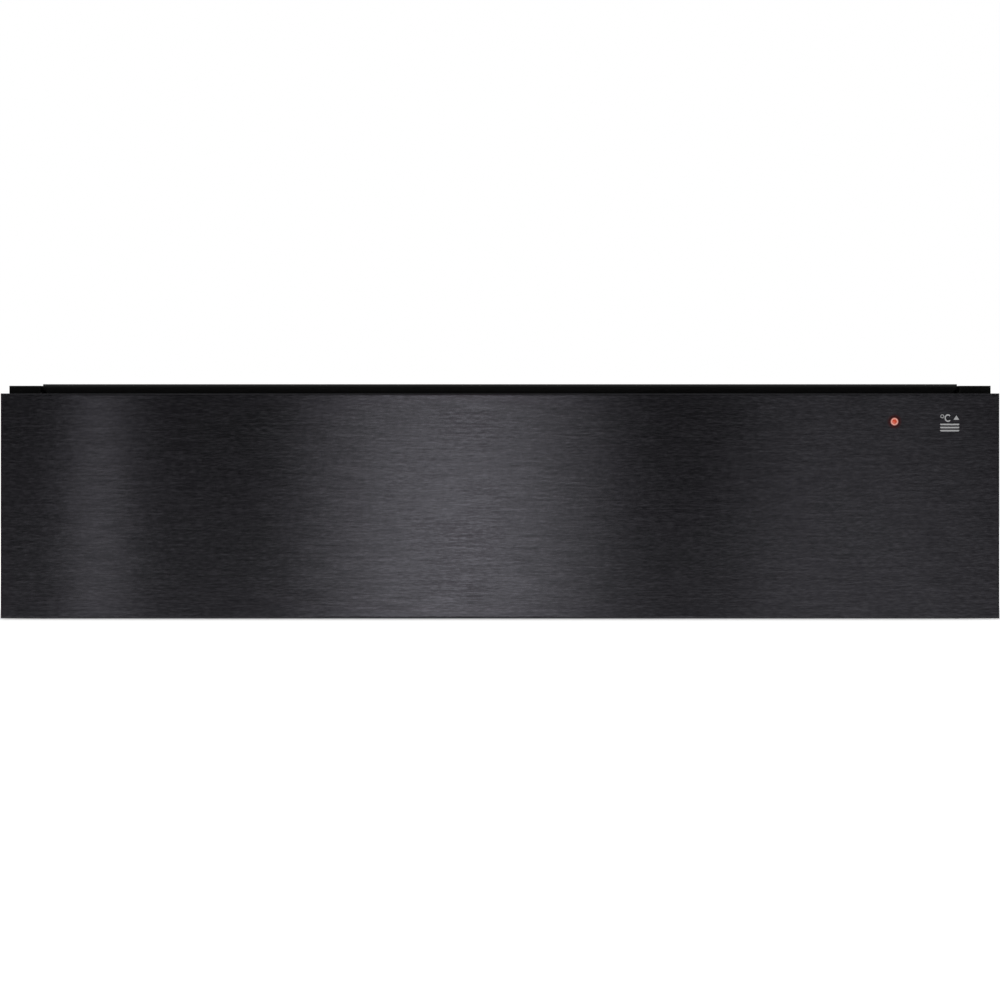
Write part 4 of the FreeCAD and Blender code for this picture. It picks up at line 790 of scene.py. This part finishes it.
WIRE_R = 0.42 * MM
TURN_PITCH = 2.1 * WIRE_R
LAYER_PITCH = 1.8 * WIRE_R
FORMER_FLANGE = 0.9 * MM
FORMER_WALL = 1.2 * MM
LIMB_GAP = 0.3 * MM
LIMB_H = 9.0 * MM


def coil_winding():
    """The motor's coil: a former with layers of copper turns round the core's limb."""
    low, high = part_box("motor_coil")
    core_low, core_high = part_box("motor_core")
    between = high.x - low.x - 2 * FORMER_FLANGE
    limb_y = (core_low.y - LIMB_GAP, core_high.y + LIMB_GAP)
    limb_z = (core_low.z - LIMB_GAP, core_low.z + LIMB_H + LIMB_GAP)
    reach = min(limb_y[0] - low.y, high.y - limb_y[1], limb_z[0] - low.z, high.z - limb_z[1])
    bm = bmesh.new()
    for layer in range(int((reach - FORMER_WALL) / LAYER_PITCH)):
        path = round_rectangle(limb_y, limb_z, FORMER_WALL + (layer + 0.5) * LAYER_PITCH, 4)
        shift = layer % 2
        for turn in range(int(between / TURN_PITCH) - shift):
            wire_turn(bm, low.x + FORMER_FLANGE + (turn + 0.5 + 0.5 * shift) * TURN_PITCH, path)
    name = "motor_winding"
    winding = piece(name, to_mesh(name, bm, 80), "drawer", "copper")
    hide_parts("motor_coil")
    former = bmesh.new()
    for x in (low.x, high.x - FORMER_FLANGE):
        frame_plate(former, x, FORMER_FLANGE, (low.y, high.y), (low.z, high.z), limb_y, limb_z)
    tube_y, tube_z = ((a - FORMER_WALL, b + FORMER_WALL) for a, b in (limb_y, limb_z))
    frame_plate(former, low.x + FORMER_FLANGE, between, tube_y, tube_z, limb_y, limb_z)
    name = "coil_former"
    piece(name, to_mesh(name, former, 30), "drawer", "pale_plastic")


def wire_turn(bm, x, path):
    """One closed turn of round wire across X along a path of (y, z, turn)."""
    section = [(math.cos(b), math.sin(b)) for b in (2 * math.pi * s / 6 for s in range(6))]
    loft(bm, [
        [
            (x + WIRE_R * p, y + WIRE_R * q * math.cos(a), z + WIRE_R * q * math.sin(a))
            for p, q in section
        ]
        for y, z, a in path
    ], ends=False)


def frame_plate(bm, x, thickness, out_y, out_z, in_y, in_z):
    """A flat rectangular frame that lies across X."""
    def ring(y, z, at):
        return [(at, p, q) for p, q in ((y[0], z[0]), (y[1], z[0]), (y[1], z[1]), (y[0], z[1]))]

    back = x + thickness
    levels = [ring(out_y, out_z, x), ring(out_y, out_z, back)]
    levels += [ring(in_y, in_z, back), ring(in_y, in_z, x)]
    loft(bm, levels, ends=False)


MAT_CORNER = 8.0 * MM
MAT_RIB_PITCH = 8.0 * MM
MAT_RIB_H = 0.6 * MM
MAT_RIB_HALF_W = 1.3 * MM
MAT_EDGE = 5.0 * MM
MAT_RIB_GAP = 3.0 * MM
MAT_STEP = 0.3 * MM
MAT_BEVEL = 0.2 * MM


def ribbed_mat():
    """The rubber mat with a bevelled border and low ribs from side to side."""
    low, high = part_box("non_slip_mat")
    across = (low.x + MAT_CORNER, high.x - MAT_CORNER)
    along = (low.y + MAT_CORNER, high.y - MAT_CORNER)
    base = high.z - MAT_RIB_H

    def outline(inset, z):
        flat = round_rectangle(across, along, MAT_CORNER - inset, 8)
        return [Vector((x, y, z)) for x, y, _ in flat]

    bm = bmesh.new()
    loft(bm, [
        outline(0, low.z),
        outline(0, base - MAT_BEVEL),
        outline(MAT_STEP, base),
        outline(MAT_STEP, high.z - MAT_BEVEL),
        outline(MAT_STEP + MAT_BEVEL, high.z),
        outline(MAT_EDGE - MAT_STEP, high.z),
        outline(MAT_EDGE, base),
    ])
    left, right = low.x + MAT_EDGE + MAT_RIB_GAP, high.x - MAT_EDGE - MAT_RIB_GAP
    count = int((high.y - low.y - 2 * MAT_EDGE) / MAT_RIB_PITCH) - 1
    start = (low.y + high.y) / 2 - (count - 1) / 2 * MAT_RIB_PITCH
    for i in range(count):
        rib(bm, left, right, start + i * MAT_RIB_PITCH, base, high.z)
    mat = piece("ribbed_mat", to_mesh("ribbed_mat", bm, 50), "drawer", "rubber")
    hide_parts("non_slip_mat")


# A rib's rounded end: (place in from the end in half widths, share of the whole size)
RIB_END = ((0, 0.0), (0.4, 0.7), (1, 1.0))
RIB_LEAST_W = 0.05 * MM
RIB_LEAST_RISE = 0.02
RIB_SINK = 0.01 * MM


def rib(bm, left, right, y, base, top):
    """A low rib along X with a rounded crest and rounded ends."""
    half = MAT_RIB_HALF_W
    places = [(left + half * i, share) for i, share in RIB_END]
    places += [(right - half * i, share) for i, share in RIB_END[::-1]]
    sections = []
    for x, share in places:
        width = max(half * share, RIB_LEAST_W)
        rise = (top - base) * max(share, RIB_LEAST_RISE)
        sections.append([
            Vector((x, y + width * math.cos(a), base - RIB_SINK + rise * math.sin(a)))
            for a in (math.pi * k / 6 for k in range(7))
        ])
    loft(bm, sections)


def bevelled_copy(name, node, width, segments, finish, body):
    """A CAD node's shape with rounded edges, as a piece that replaces it."""
    bm = bmesh.new()
    bm.from_mesh(nodes[node].data)
    bmesh.ops.remove_doubles(bm, verts=bm.verts, dist=1e-7)
    bmesh.ops.dissolve_limit(bm, angle_limit=math.radians(1), verts=bm.verts, edges=bm.edges)
    limit = math.radians(28)
    sharp = [e for e in bm.edges if len(e.link_faces) == 2 and e.calc_face_angle(0) > limit]
    bmesh.ops.bevel(
        bm, geom=sharp, offset=width, segments=segments, profile=0.5,
        affect="EDGES", clamp_overlap=True,
    )
    bmesh.ops.triangulate(bm, faces=[f for f in bm.faces if len(f.verts) > 4])
    made = piece(name, to_mesh(name, bm, 32), body, finish)
    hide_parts(node)


def moulded_edges():
    """Rounds the edges of the moulded pieces that show."""
    bevelled_copy(
        "console_moulded", "console_shell", 0.6 * MM, 3, "console", "drawer"
    )
    bevelled_copy(
        "rocker_moulded", "switch_rocker", 0.35 * MM, 2, "knob", "power_rocker"
    )


GLAND_NUT_R = 10.5 * MM
GLAND_NUT_T = 5.0 * MM
GLAND_NUT_CORNER = 1.3 * MM
GLAND_NUT_CHAMFER = 0.6 * MM
GLAND_NECK_R = 8.0 * MM
GLAND_BORE_R = 3.8 * MM
GLAND_PROUD = 3.5 * MM
GLAND_STEPS = 5
# Its outer end: the hexagon's insets, then the circles' radii, each with how far it lies
# behind the end's face
GLAND_CAP = ((0, 0.9 * MM), (0.35 * MM, 0.35 * MM), (1.2 * MM, 0))
GLAND_MOUTH = (
    (6.6 * MM, 0), (6.2 * MM, 0.5 * MM), (4.6 * MM, 0.5 * MM), (GLAND_BORE_R, 1.1 * MM)
)


def gland():
    """The mains gland: a chamfered hexagon outside, a neck in the wall and a nut inside."""
    low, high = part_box("cable_gland")
    centre = (low + high) / 2
    corners = [Vector(p) for p in arc_points(GLAND_NUT_R, 0, 300, 5)]
    step = 60 / (GLAND_STEPS + 1)
    turns = [
        math.radians(60 * i + (k - GLAND_STEPS / 2) * step)
        for i in range(6) for k in range(GLAND_STEPS + 1)
    ]

    def level(flat, y):
        return [Vector((centre.x + p.x, y, centre.z + p.y)) for p in flat]

    def hexagon(inset, y):
        return level(inset_outline(corners, inset, GLAND_NUT_CORNER, GLAND_STEPS), y)

    def round_level(radius, y):
        return level([Vector((math.cos(a), math.sin(a))) * radius for a in turns], y)

    inside, outside = low.y + GLAND_NUT_T, high.y - GLAND_PROUD
    bm = bmesh.new()
    loft(bm, [
        round_level(GLAND_BORE_R, low.y),
        hexagon(GLAND_NUT_CHAMFER, low.y),
        hexagon(0, low.y + GLAND_NUT_CHAMFER),
        hexagon(0, inside),
        round_level(GLAND_NECK_R, inside),
        round_level(GLAND_NECK_R, outside),
        hexagon(0, outside),
        *(hexagon(inset, high.y - back) for inset, back in GLAND_CAP),
        *(round_level(radius, high.y - back) for radius, back in GLAND_MOUTH),
    ], ends=False)
    name = "gland_moulded"
    made = piece(name, to_mesh(name, bm, 25), "housing", "latch")
    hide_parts("cable_gland")


KNOB_SKIRT_H = 2.4 * MM
KNOB_GRIP_L = 27.0 * MM
KNOB_GRIP_W = 9.0 * MM
KNOB_GRIP_CORNER = 1.1 * MM
KNOB_POINT = 4.0 * MM
KNOB_BORE_R = 3.1 * MM
KNOB_WEB = 0.2 * MM
KNOB_FLUTES = 48
KNOB_FLUTE_DEPTH = 0.28 * MM
KNOB_FLUTED = 0.3 * MM
# The skirt's rim: (in from the largest radius, up)
KNOB_RIM = (
    (0.4 * MM, 0), (0, 0.3 * MM), (0, 1.8 * MM),
    (0.2 * MM, 2.2 * MM), (0.6 * MM, KNOB_SKIRT_H), (1.3 * MM, KNOB_SKIRT_H),
)
# The grip's foot: (inset, up from the skirt); then its crown: (inset, down from the top)
KNOB_FOOT = (
    (-0.35 * MM, -0.05 * MM), (-0.28 * MM, 0.07 * MM), (-0.08 * MM, 0.27 * MM), (0, 0.6 * MM)
)
KNOB_CROWN = (
    (0.12 * MM, 0.75 * MM), (0.21 * MM, 0.4 * MM), (0.42 * MM, 0.13 * MM), (0.8 * MM, 0)
)


def flute_depth(way):
    """How deep the skirt's rim is cut in a direction."""
    share = math.degrees(math.atan2(way.y, way.x)) * KNOB_FLUTES / 360 % 1
    if min(share, 1 - share) >= 0.25:
        return 0
    return KNOB_FLUTE_DEPTH * math.cos(2 * math.pi * share) ** 4


def knob():
    """The thermostat's knob: a fluted skirt and a rounded bar grip that points at the scale."""
    low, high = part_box("thermostat_knob")
    centre = Vector(((low.x + high.x) / 2, (low.y + high.y) / 2, low.z))
    radius = (high.x - low.x) / 2
    bore_top = KNOB_SKIRT_H - KNOB_WEB
    bm = bmesh.new()
    profile = [(0, bore_top), (KNOB_BORE_R, bore_top), (KNOB_BORE_R, 0)]
    profile += [(radius - inset, up) for inset, up in KNOB_RIM]
    revolve(bm, centre, UP, profile + [(0, KNOB_SKIRT_H)], 4 * KNOB_FLUTES)
    for vertex in bm.verts:
        out = vertex.co - centre
        out.z = 0
        if out.length > radius - KNOB_FLUTED:
            vertex.co -= out.normalized() * flute_depth(out)
    half_w, half_l = KNOB_GRIP_W / 2, KNOB_GRIP_L / 2
    shoulder = half_l - KNOB_POINT
    corners = [(-half_w, -half_l), (half_w, -half_l), (half_w, shoulder), (0, half_l)]
    corners = [Vector(p) for p in (*corners, (-half_w, shoulder))]
    sides = [(inset, KNOB_SKIRT_H + up) for inset, up in KNOB_FOOT]
    sides += [(inset, high.z - low.z - down) for inset, down in KNOB_CROWN]
    loft(bm, [
        [
            Vector((centre.x + p.x, centre.y + p.y, centre.z + z))
            for p in inset_outline(corners, inset, KNOB_GRIP_CORNER)
        ]
        for inset, z in sides
    ])
    name = "knob_moulded"
    made = piece(name, to_mesh(name, bm, 32), "temperature_knob", "knob")
    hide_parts("thermostat_knob")


def ink_on_top(bm, x, y, z, width, depth, turn=0.0):
    """A small printed bar on a level face; turn is in degrees about Z."""
    c, s = math.cos(math.radians(turn)), math.sin(math.radians(turn))
    p, q = width / 2, depth / 2
    extrude_outline(bm, [
        Vector((x + i * p * c - j * q * s, y + i * p * s + j * q * c, z))
        for i, j in ((-1, -1), (1, -1), (1, 1), (-1, 1))
    ], UP * INK)


def text_print(name, words, at, size):
    """Printed numbers on a level face of the drawer, read from the front."""
    curve = bpy.data.curves.new(name, "FONT")
    curve.body = words
    curve.size = size
    curve.align_x = "CENTER"
    curve.align_y = "CENTER"
    curve.extrude = INK
    made = bpy.data.objects.new(name, curve)
    bpy.context.scene.collection.objects.link(made)
    made.location = at
    bpy.context.view_layer.update()
    shown = made.evaluated_get(bpy.context.evaluated_depsgraph_get())
    mesh = bpy.data.meshes.new_from_object(shown)
    mesh.transform(made.matrix_world)
    bpy.data.objects.remove(made)
    piece(name, mesh, "drawer", "white_ink")


KNOB_TURN = 270.0
SCALE_WORDS = ("0", "40", "50", "60", "70", "80")
SCALE_H = 3.0 * MM
SCALE_AWAY = 5.6 * MM
SCALE_MOST_Y = 19.0 * MM
TICK_AWAY = 1.6 * MM
TICK_L = 1.8 * MM
TICK_W = 0.5 * MM
POINTER_IN = 6.2 * MM
POINTER_L = 7.0 * MM
POINTER_W = 0.8 * MM
ON_AWAY = 3.2 * MM
ON_L = 3.0 * MM
ON_W = 0.6 * MM
OFF_AWAY = 3.6 * MM
OFF_OUTER = 1.6 * MM
OFF_INNER = 1.0 * MM


def printed(name, bm, body="drawer"):
    """A print in white ink, from its bmesh."""
    piece(name, to_mesh(name, bm, 20), body, "white_ink")


def controls():
    """Printed scale round the thermostat knob, the knob's pointer, and the switch's signs."""
    knob_low, knob_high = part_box("thermostat_knob")
    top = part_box("console_shell")[1].z
    centre = (knob_low + knob_high) / 2
    radius = (knob_high.x - knob_low.x) / 2
    turns = [90 - KNOB_TURN * i / (len(SCALE_WORDS) - 1) for i in range(len(SCALE_WORDS))]
    scale = bmesh.new()
    for turn in turns:
        a, reach = math.radians(turn), radius + TICK_AWAY
        x, y = centre.x + reach * math.cos(a), centre.y + reach * math.sin(a)
        ink_on_top(scale, x, y, top, TICK_L, TICK_W, turn)
    printed("knob_scale", scale)
    for turn, words in zip(turns, SCALE_WORDS):
        a, reach = math.radians(turn), radius + SCALE_AWAY
        rise = max(-SCALE_MOST_Y, min(SCALE_MOST_Y, reach * math.sin(a)))
        at = Vector((centre.x + reach * math.cos(a), centre.y + rise, top))
        text_print(f"scale_{words}", words, at, SCALE_H)
    pointer = bmesh.new()
    y, z = knob_high.y - POINTER_IN, knob_high.z - INK * 0.5
    ink_on_top(pointer, centre.x, y, z, POINTER_W, POINTER_L)
    printed("knob_pointer", pointer, "temperature_knob")
    switch_low, switch_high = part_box("switch_body")
    signs = bmesh.new()
    y = (switch_low.y + switch_high.y) / 2
    ink_on_top(signs, switch_high.x + ON_AWAY, y, top, ON_W, ON_L)
    off_at = Vector((switch_low.x - OFF_AWAY, y, top))
    printed_ring(signs, off_at, -FRONT, OFF_OUTER, OFF_INNER, UP * INK)
    printed("switch_signs", signs)


# Stage: floor, background, lamps and camera


FRAME_W = 0.5957
CAMERA_AWAY = 6.0
CAMERA_Z = 0.0707
SENSOR = 36.0


def camera():
    """A long lens square on to the front, as in the photograph."""
    data = bpy.data.cameras.new("camera")
    data.sensor_width = SENSOR
    data.lens = SENSOR * CAMERA_AWAY / FRAME_W
    data.clip_end = 100
    made = bpy.data.objects.new("camera", data)
    made.location = (0, skin_low.y - CAMERA_AWAY, CAMERA_Z)
    made.rotation_euler = (math.radians(90), 0, 0)
    bpy.context.scene.collection.objects.link(made)
    bpy.context.scene.camera = made


WORLD_LIGHT = 0.55


def background():
    """White world for what the camera and reflections see, and a plain grey for soft light."""
    world = bpy.data.worlds.new("studio")
    world.use_nodes = True
    bpy.context.scene.world = world
    tree = world.node_tree
    shader = tree.nodes["Background"]
    rays = tree.nodes.new("ShaderNodeLightPath")
    seen = rays.outputs["Is Camera Ray"]
    for kind in ("Is Glossy Ray", "Is Transmission Ray"):
        either = tree.nodes.new("ShaderNodeMath")
        either.operation = "MAXIMUM"
        tree.links.new(seen, either.inputs[0])
        tree.links.new(rays.outputs[kind], either.inputs[1])
        seen = either.outputs["Value"]
    strength = tree.nodes.new("ShaderNodeMapRange")
    strength.inputs["To Min"].default_value = WORLD_LIGHT
    strength.inputs["To Max"].default_value = 1.0
    tree.links.new(seen, strength.inputs["Value"])
    tree.links.new(strength.outputs["Result"], shader.inputs["Strength"])
    shader.inputs["Color"].default_value = (1, 1, 1, 1)


FLOOR_Z = -0.3 * MM
FLOOR_SIZE = 20.0
FLOOR_COLOUR = (0.82, 0.82, 0.82, 1)
FLOOR_GLOW = 1.16
FLOOR_WHITE = 0.8
FLOOR_NEAR_WHITE = 0.2
FLOOR_NEAR = 0.9
FLOOR_FAR = 2.6


def floor():
    """A pale floor with its shadow; it turns white away from the part, and is clear from below."""
    bm = bmesh.new()
    at = Matrix.Translation((0, 0, FLOOR_Z))
    bmesh.ops.create_grid(bm, x_segments=1, y_segments=1, size=FLOOR_SIZE, matrix=at)
    made = bpy.data.objects.new("floor", to_mesh("floor", bm))
    bpy.context.scene.collection.objects.link(made)
    n = Nodes("pale_floor")
    n.set(Base_Color=FLOOR_COLOUR, Roughness=0.9, Specular_IOR_Level=0.0)
    output = n.tree.nodes["Material Output"]
    glow = n.add("ShaderNodeEmission", Strength=FLOOR_GLOW)
    mix = n.add("ShaderNodeMixShader")
    rays = n.add("ShaderNodeLightPath")
    away = n.add("ShaderNodeVectorMath", operation="LENGTH")
    n.link(n.place((1 / FLOOR_FAR,) * 3), away.inputs[0])
    white = n.ramp(away.outputs["Value"], [(FLOOR_NEAR / FLOOR_FAR, FLOOR_NEAR_WHITE), (1.0, 1.0)])
    straight = n.math("MULTIPLY", rays.outputs["Is Camera Ray"], white)
    mirrored = n.math("MULTIPLY", rays.outputs["Is Glossy Ray"], FLOOR_WHITE)
    n.link(n.math("MAXIMUM", straight, mirrored), mix.inputs[0])
    n.link(n.shader.outputs["BSDF"], mix.inputs[1])
    n.link(glow.outputs["Emission"], mix.inputs[2])
    side = n.add("ShaderNodeMixShader")
    n.link(n.add("ShaderNodeNewGeometry").outputs["Backfacing"], side.inputs[0])
    n.link(mix.outputs["Shader"], side.inputs[1])
    n.link(n.add("ShaderNodeBsdfTransparent").outputs["BSDF"], side.inputs[2])
    n.link(side.outputs["Shader"], output.inputs["Surface"])
    made.data.materials.append(n.material)


# Soft lamps: place, the point each is aimed at, size and power
LAMPS = {
    "key": ((-1.1, -1.6, 1.7), (0, 0, 0.05), (1.2, 1.2), 26),
    "fill": ((1.6, -1.2, 1.2), (0, 0, 0.05), (1.2, 1.2), 12),
    "top": ((0, 0.3, 2.2), (0, 0, 0), (1.6, 1.6), 18),
    "back": ((0.6, 1.9, 1.3), (0, 0, 0.05), (1.2, 0.8), 12),
}


def area_light(name, at, target, size, power):
    """A soft rectangular lamp; neither the camera nor a reflection sees it."""
    data = bpy.data.lights.new(name, "AREA")
    data.shape = "RECTANGLE"
    data.size, data.size_y = size
    data.energy = power
    made = bpy.data.objects.new(name, data)
    made.location = at
    made.rotation_euler = (Vector(target) - Vector(at)).to_track_quat("-Z", "Y").to_euler()
    made.visible_camera = False
    made.visible_glossy = False
    bpy.context.scene.collection.objects.link(made)


CARD_Y = -0.95
CARD_HALF_W = 1.3
CARD_H = 1.1
CARD_SHADE = 0.06
STRIP_H = 0.165
STRIP_GAP = 10 * MM
STRIPS = (
    # Along X: dark up to, full from, full up to, dark from; brightness at the floor
    (-0.292, -0.273, -0.267, -0.232, 6.0),
    (-0.168, -0.034, -0.023, 0.105, 11.6),
    (0.127, 0.200, 0.233, 0.405, 2.4),
)


def stage_plane(name, x, y, top, stops, falls=0.0):
    """An upright plane that only reflections see; stops are (place along X, brightness).

    falls is the share of the brightness that is gone at the top.
    """
    bm = bmesh.new()
    corners = ((x[0], MM), (x[1], MM), (x[1], top), (x[0], top))
    bm.faces.new([bm.verts.new((at, y, z)) for at, z in corners])
    made = bpy.data.objects.new(name, to_mesh(name, bm))
    bpy.context.scene.collection.objects.link(made)
    n = Nodes(name)
    across = n.add("ShaderNodeSeparateXYZ")
    n.link(n.place(), across.inputs["Vector"])
    share = n.math("DIVIDE", n.math("SUBTRACT", across.outputs["X"], x[0]), x[1] - x[0])
    most = max(value for _, value in stops)
    shades = [((at - x[0]) / (x[1] - x[0]), value / most) for at, value in stops]
    glow = n.add("ShaderNodeEmission", Strength=most)
    height = n.math("DIVIDE", across.outputs["Z"], top)
    fall = n.ramp(height, [(0.0, 1.0), (1.0, 1.0 - falls)])
    n.link(n.mix(1.0, n.ramp(share, shades, "EASE"), fall, "MULTIPLY"), glow.inputs["Color"])
    n.link(glow.outputs["Emission"], n.tree.nodes["Material Output"].inputs["Surface"])
    made.data.materials.append(n.material)
    for ray in ("camera", "diffuse", "transmission", "volume_scatter", "shadow"):
        setattr(made, f"visible_{ray}", False)


def lights():
    """Soft studio lamps, a dark card before the front and three strip lights on it."""
    for name, settings in LAMPS.items():
        area_light(name, *settings)
    whole = (-CARD_HALF_W, CARD_HALF_W)
    stage_plane("dark_card", whole, CARD_Y, CARD_H, [(at, CARD_SHADE) for at in whole])
    for i, (start, full, end, stop, bright) in enumerate(STRIPS):
        shade = [(start, CARD_SHADE), (full, bright), (end, bright), (stop, CARD_SHADE)]
        stage_plane(f"strip_{i}", (start, stop), CARD_Y + STRIP_GAP * (i + 1), STRIP_H, shade, 1.0)


dress_nodes()
pilot_lamp()
front_mark()
screws()
slide_balls()
coil_winding()
ribbed_mat()
moulded_edges()
gland()
knob()
controls()
camera()
background()
floor()
lights()

scene = bpy.context.scene
scene.view_settings.view_transform = "Standard"
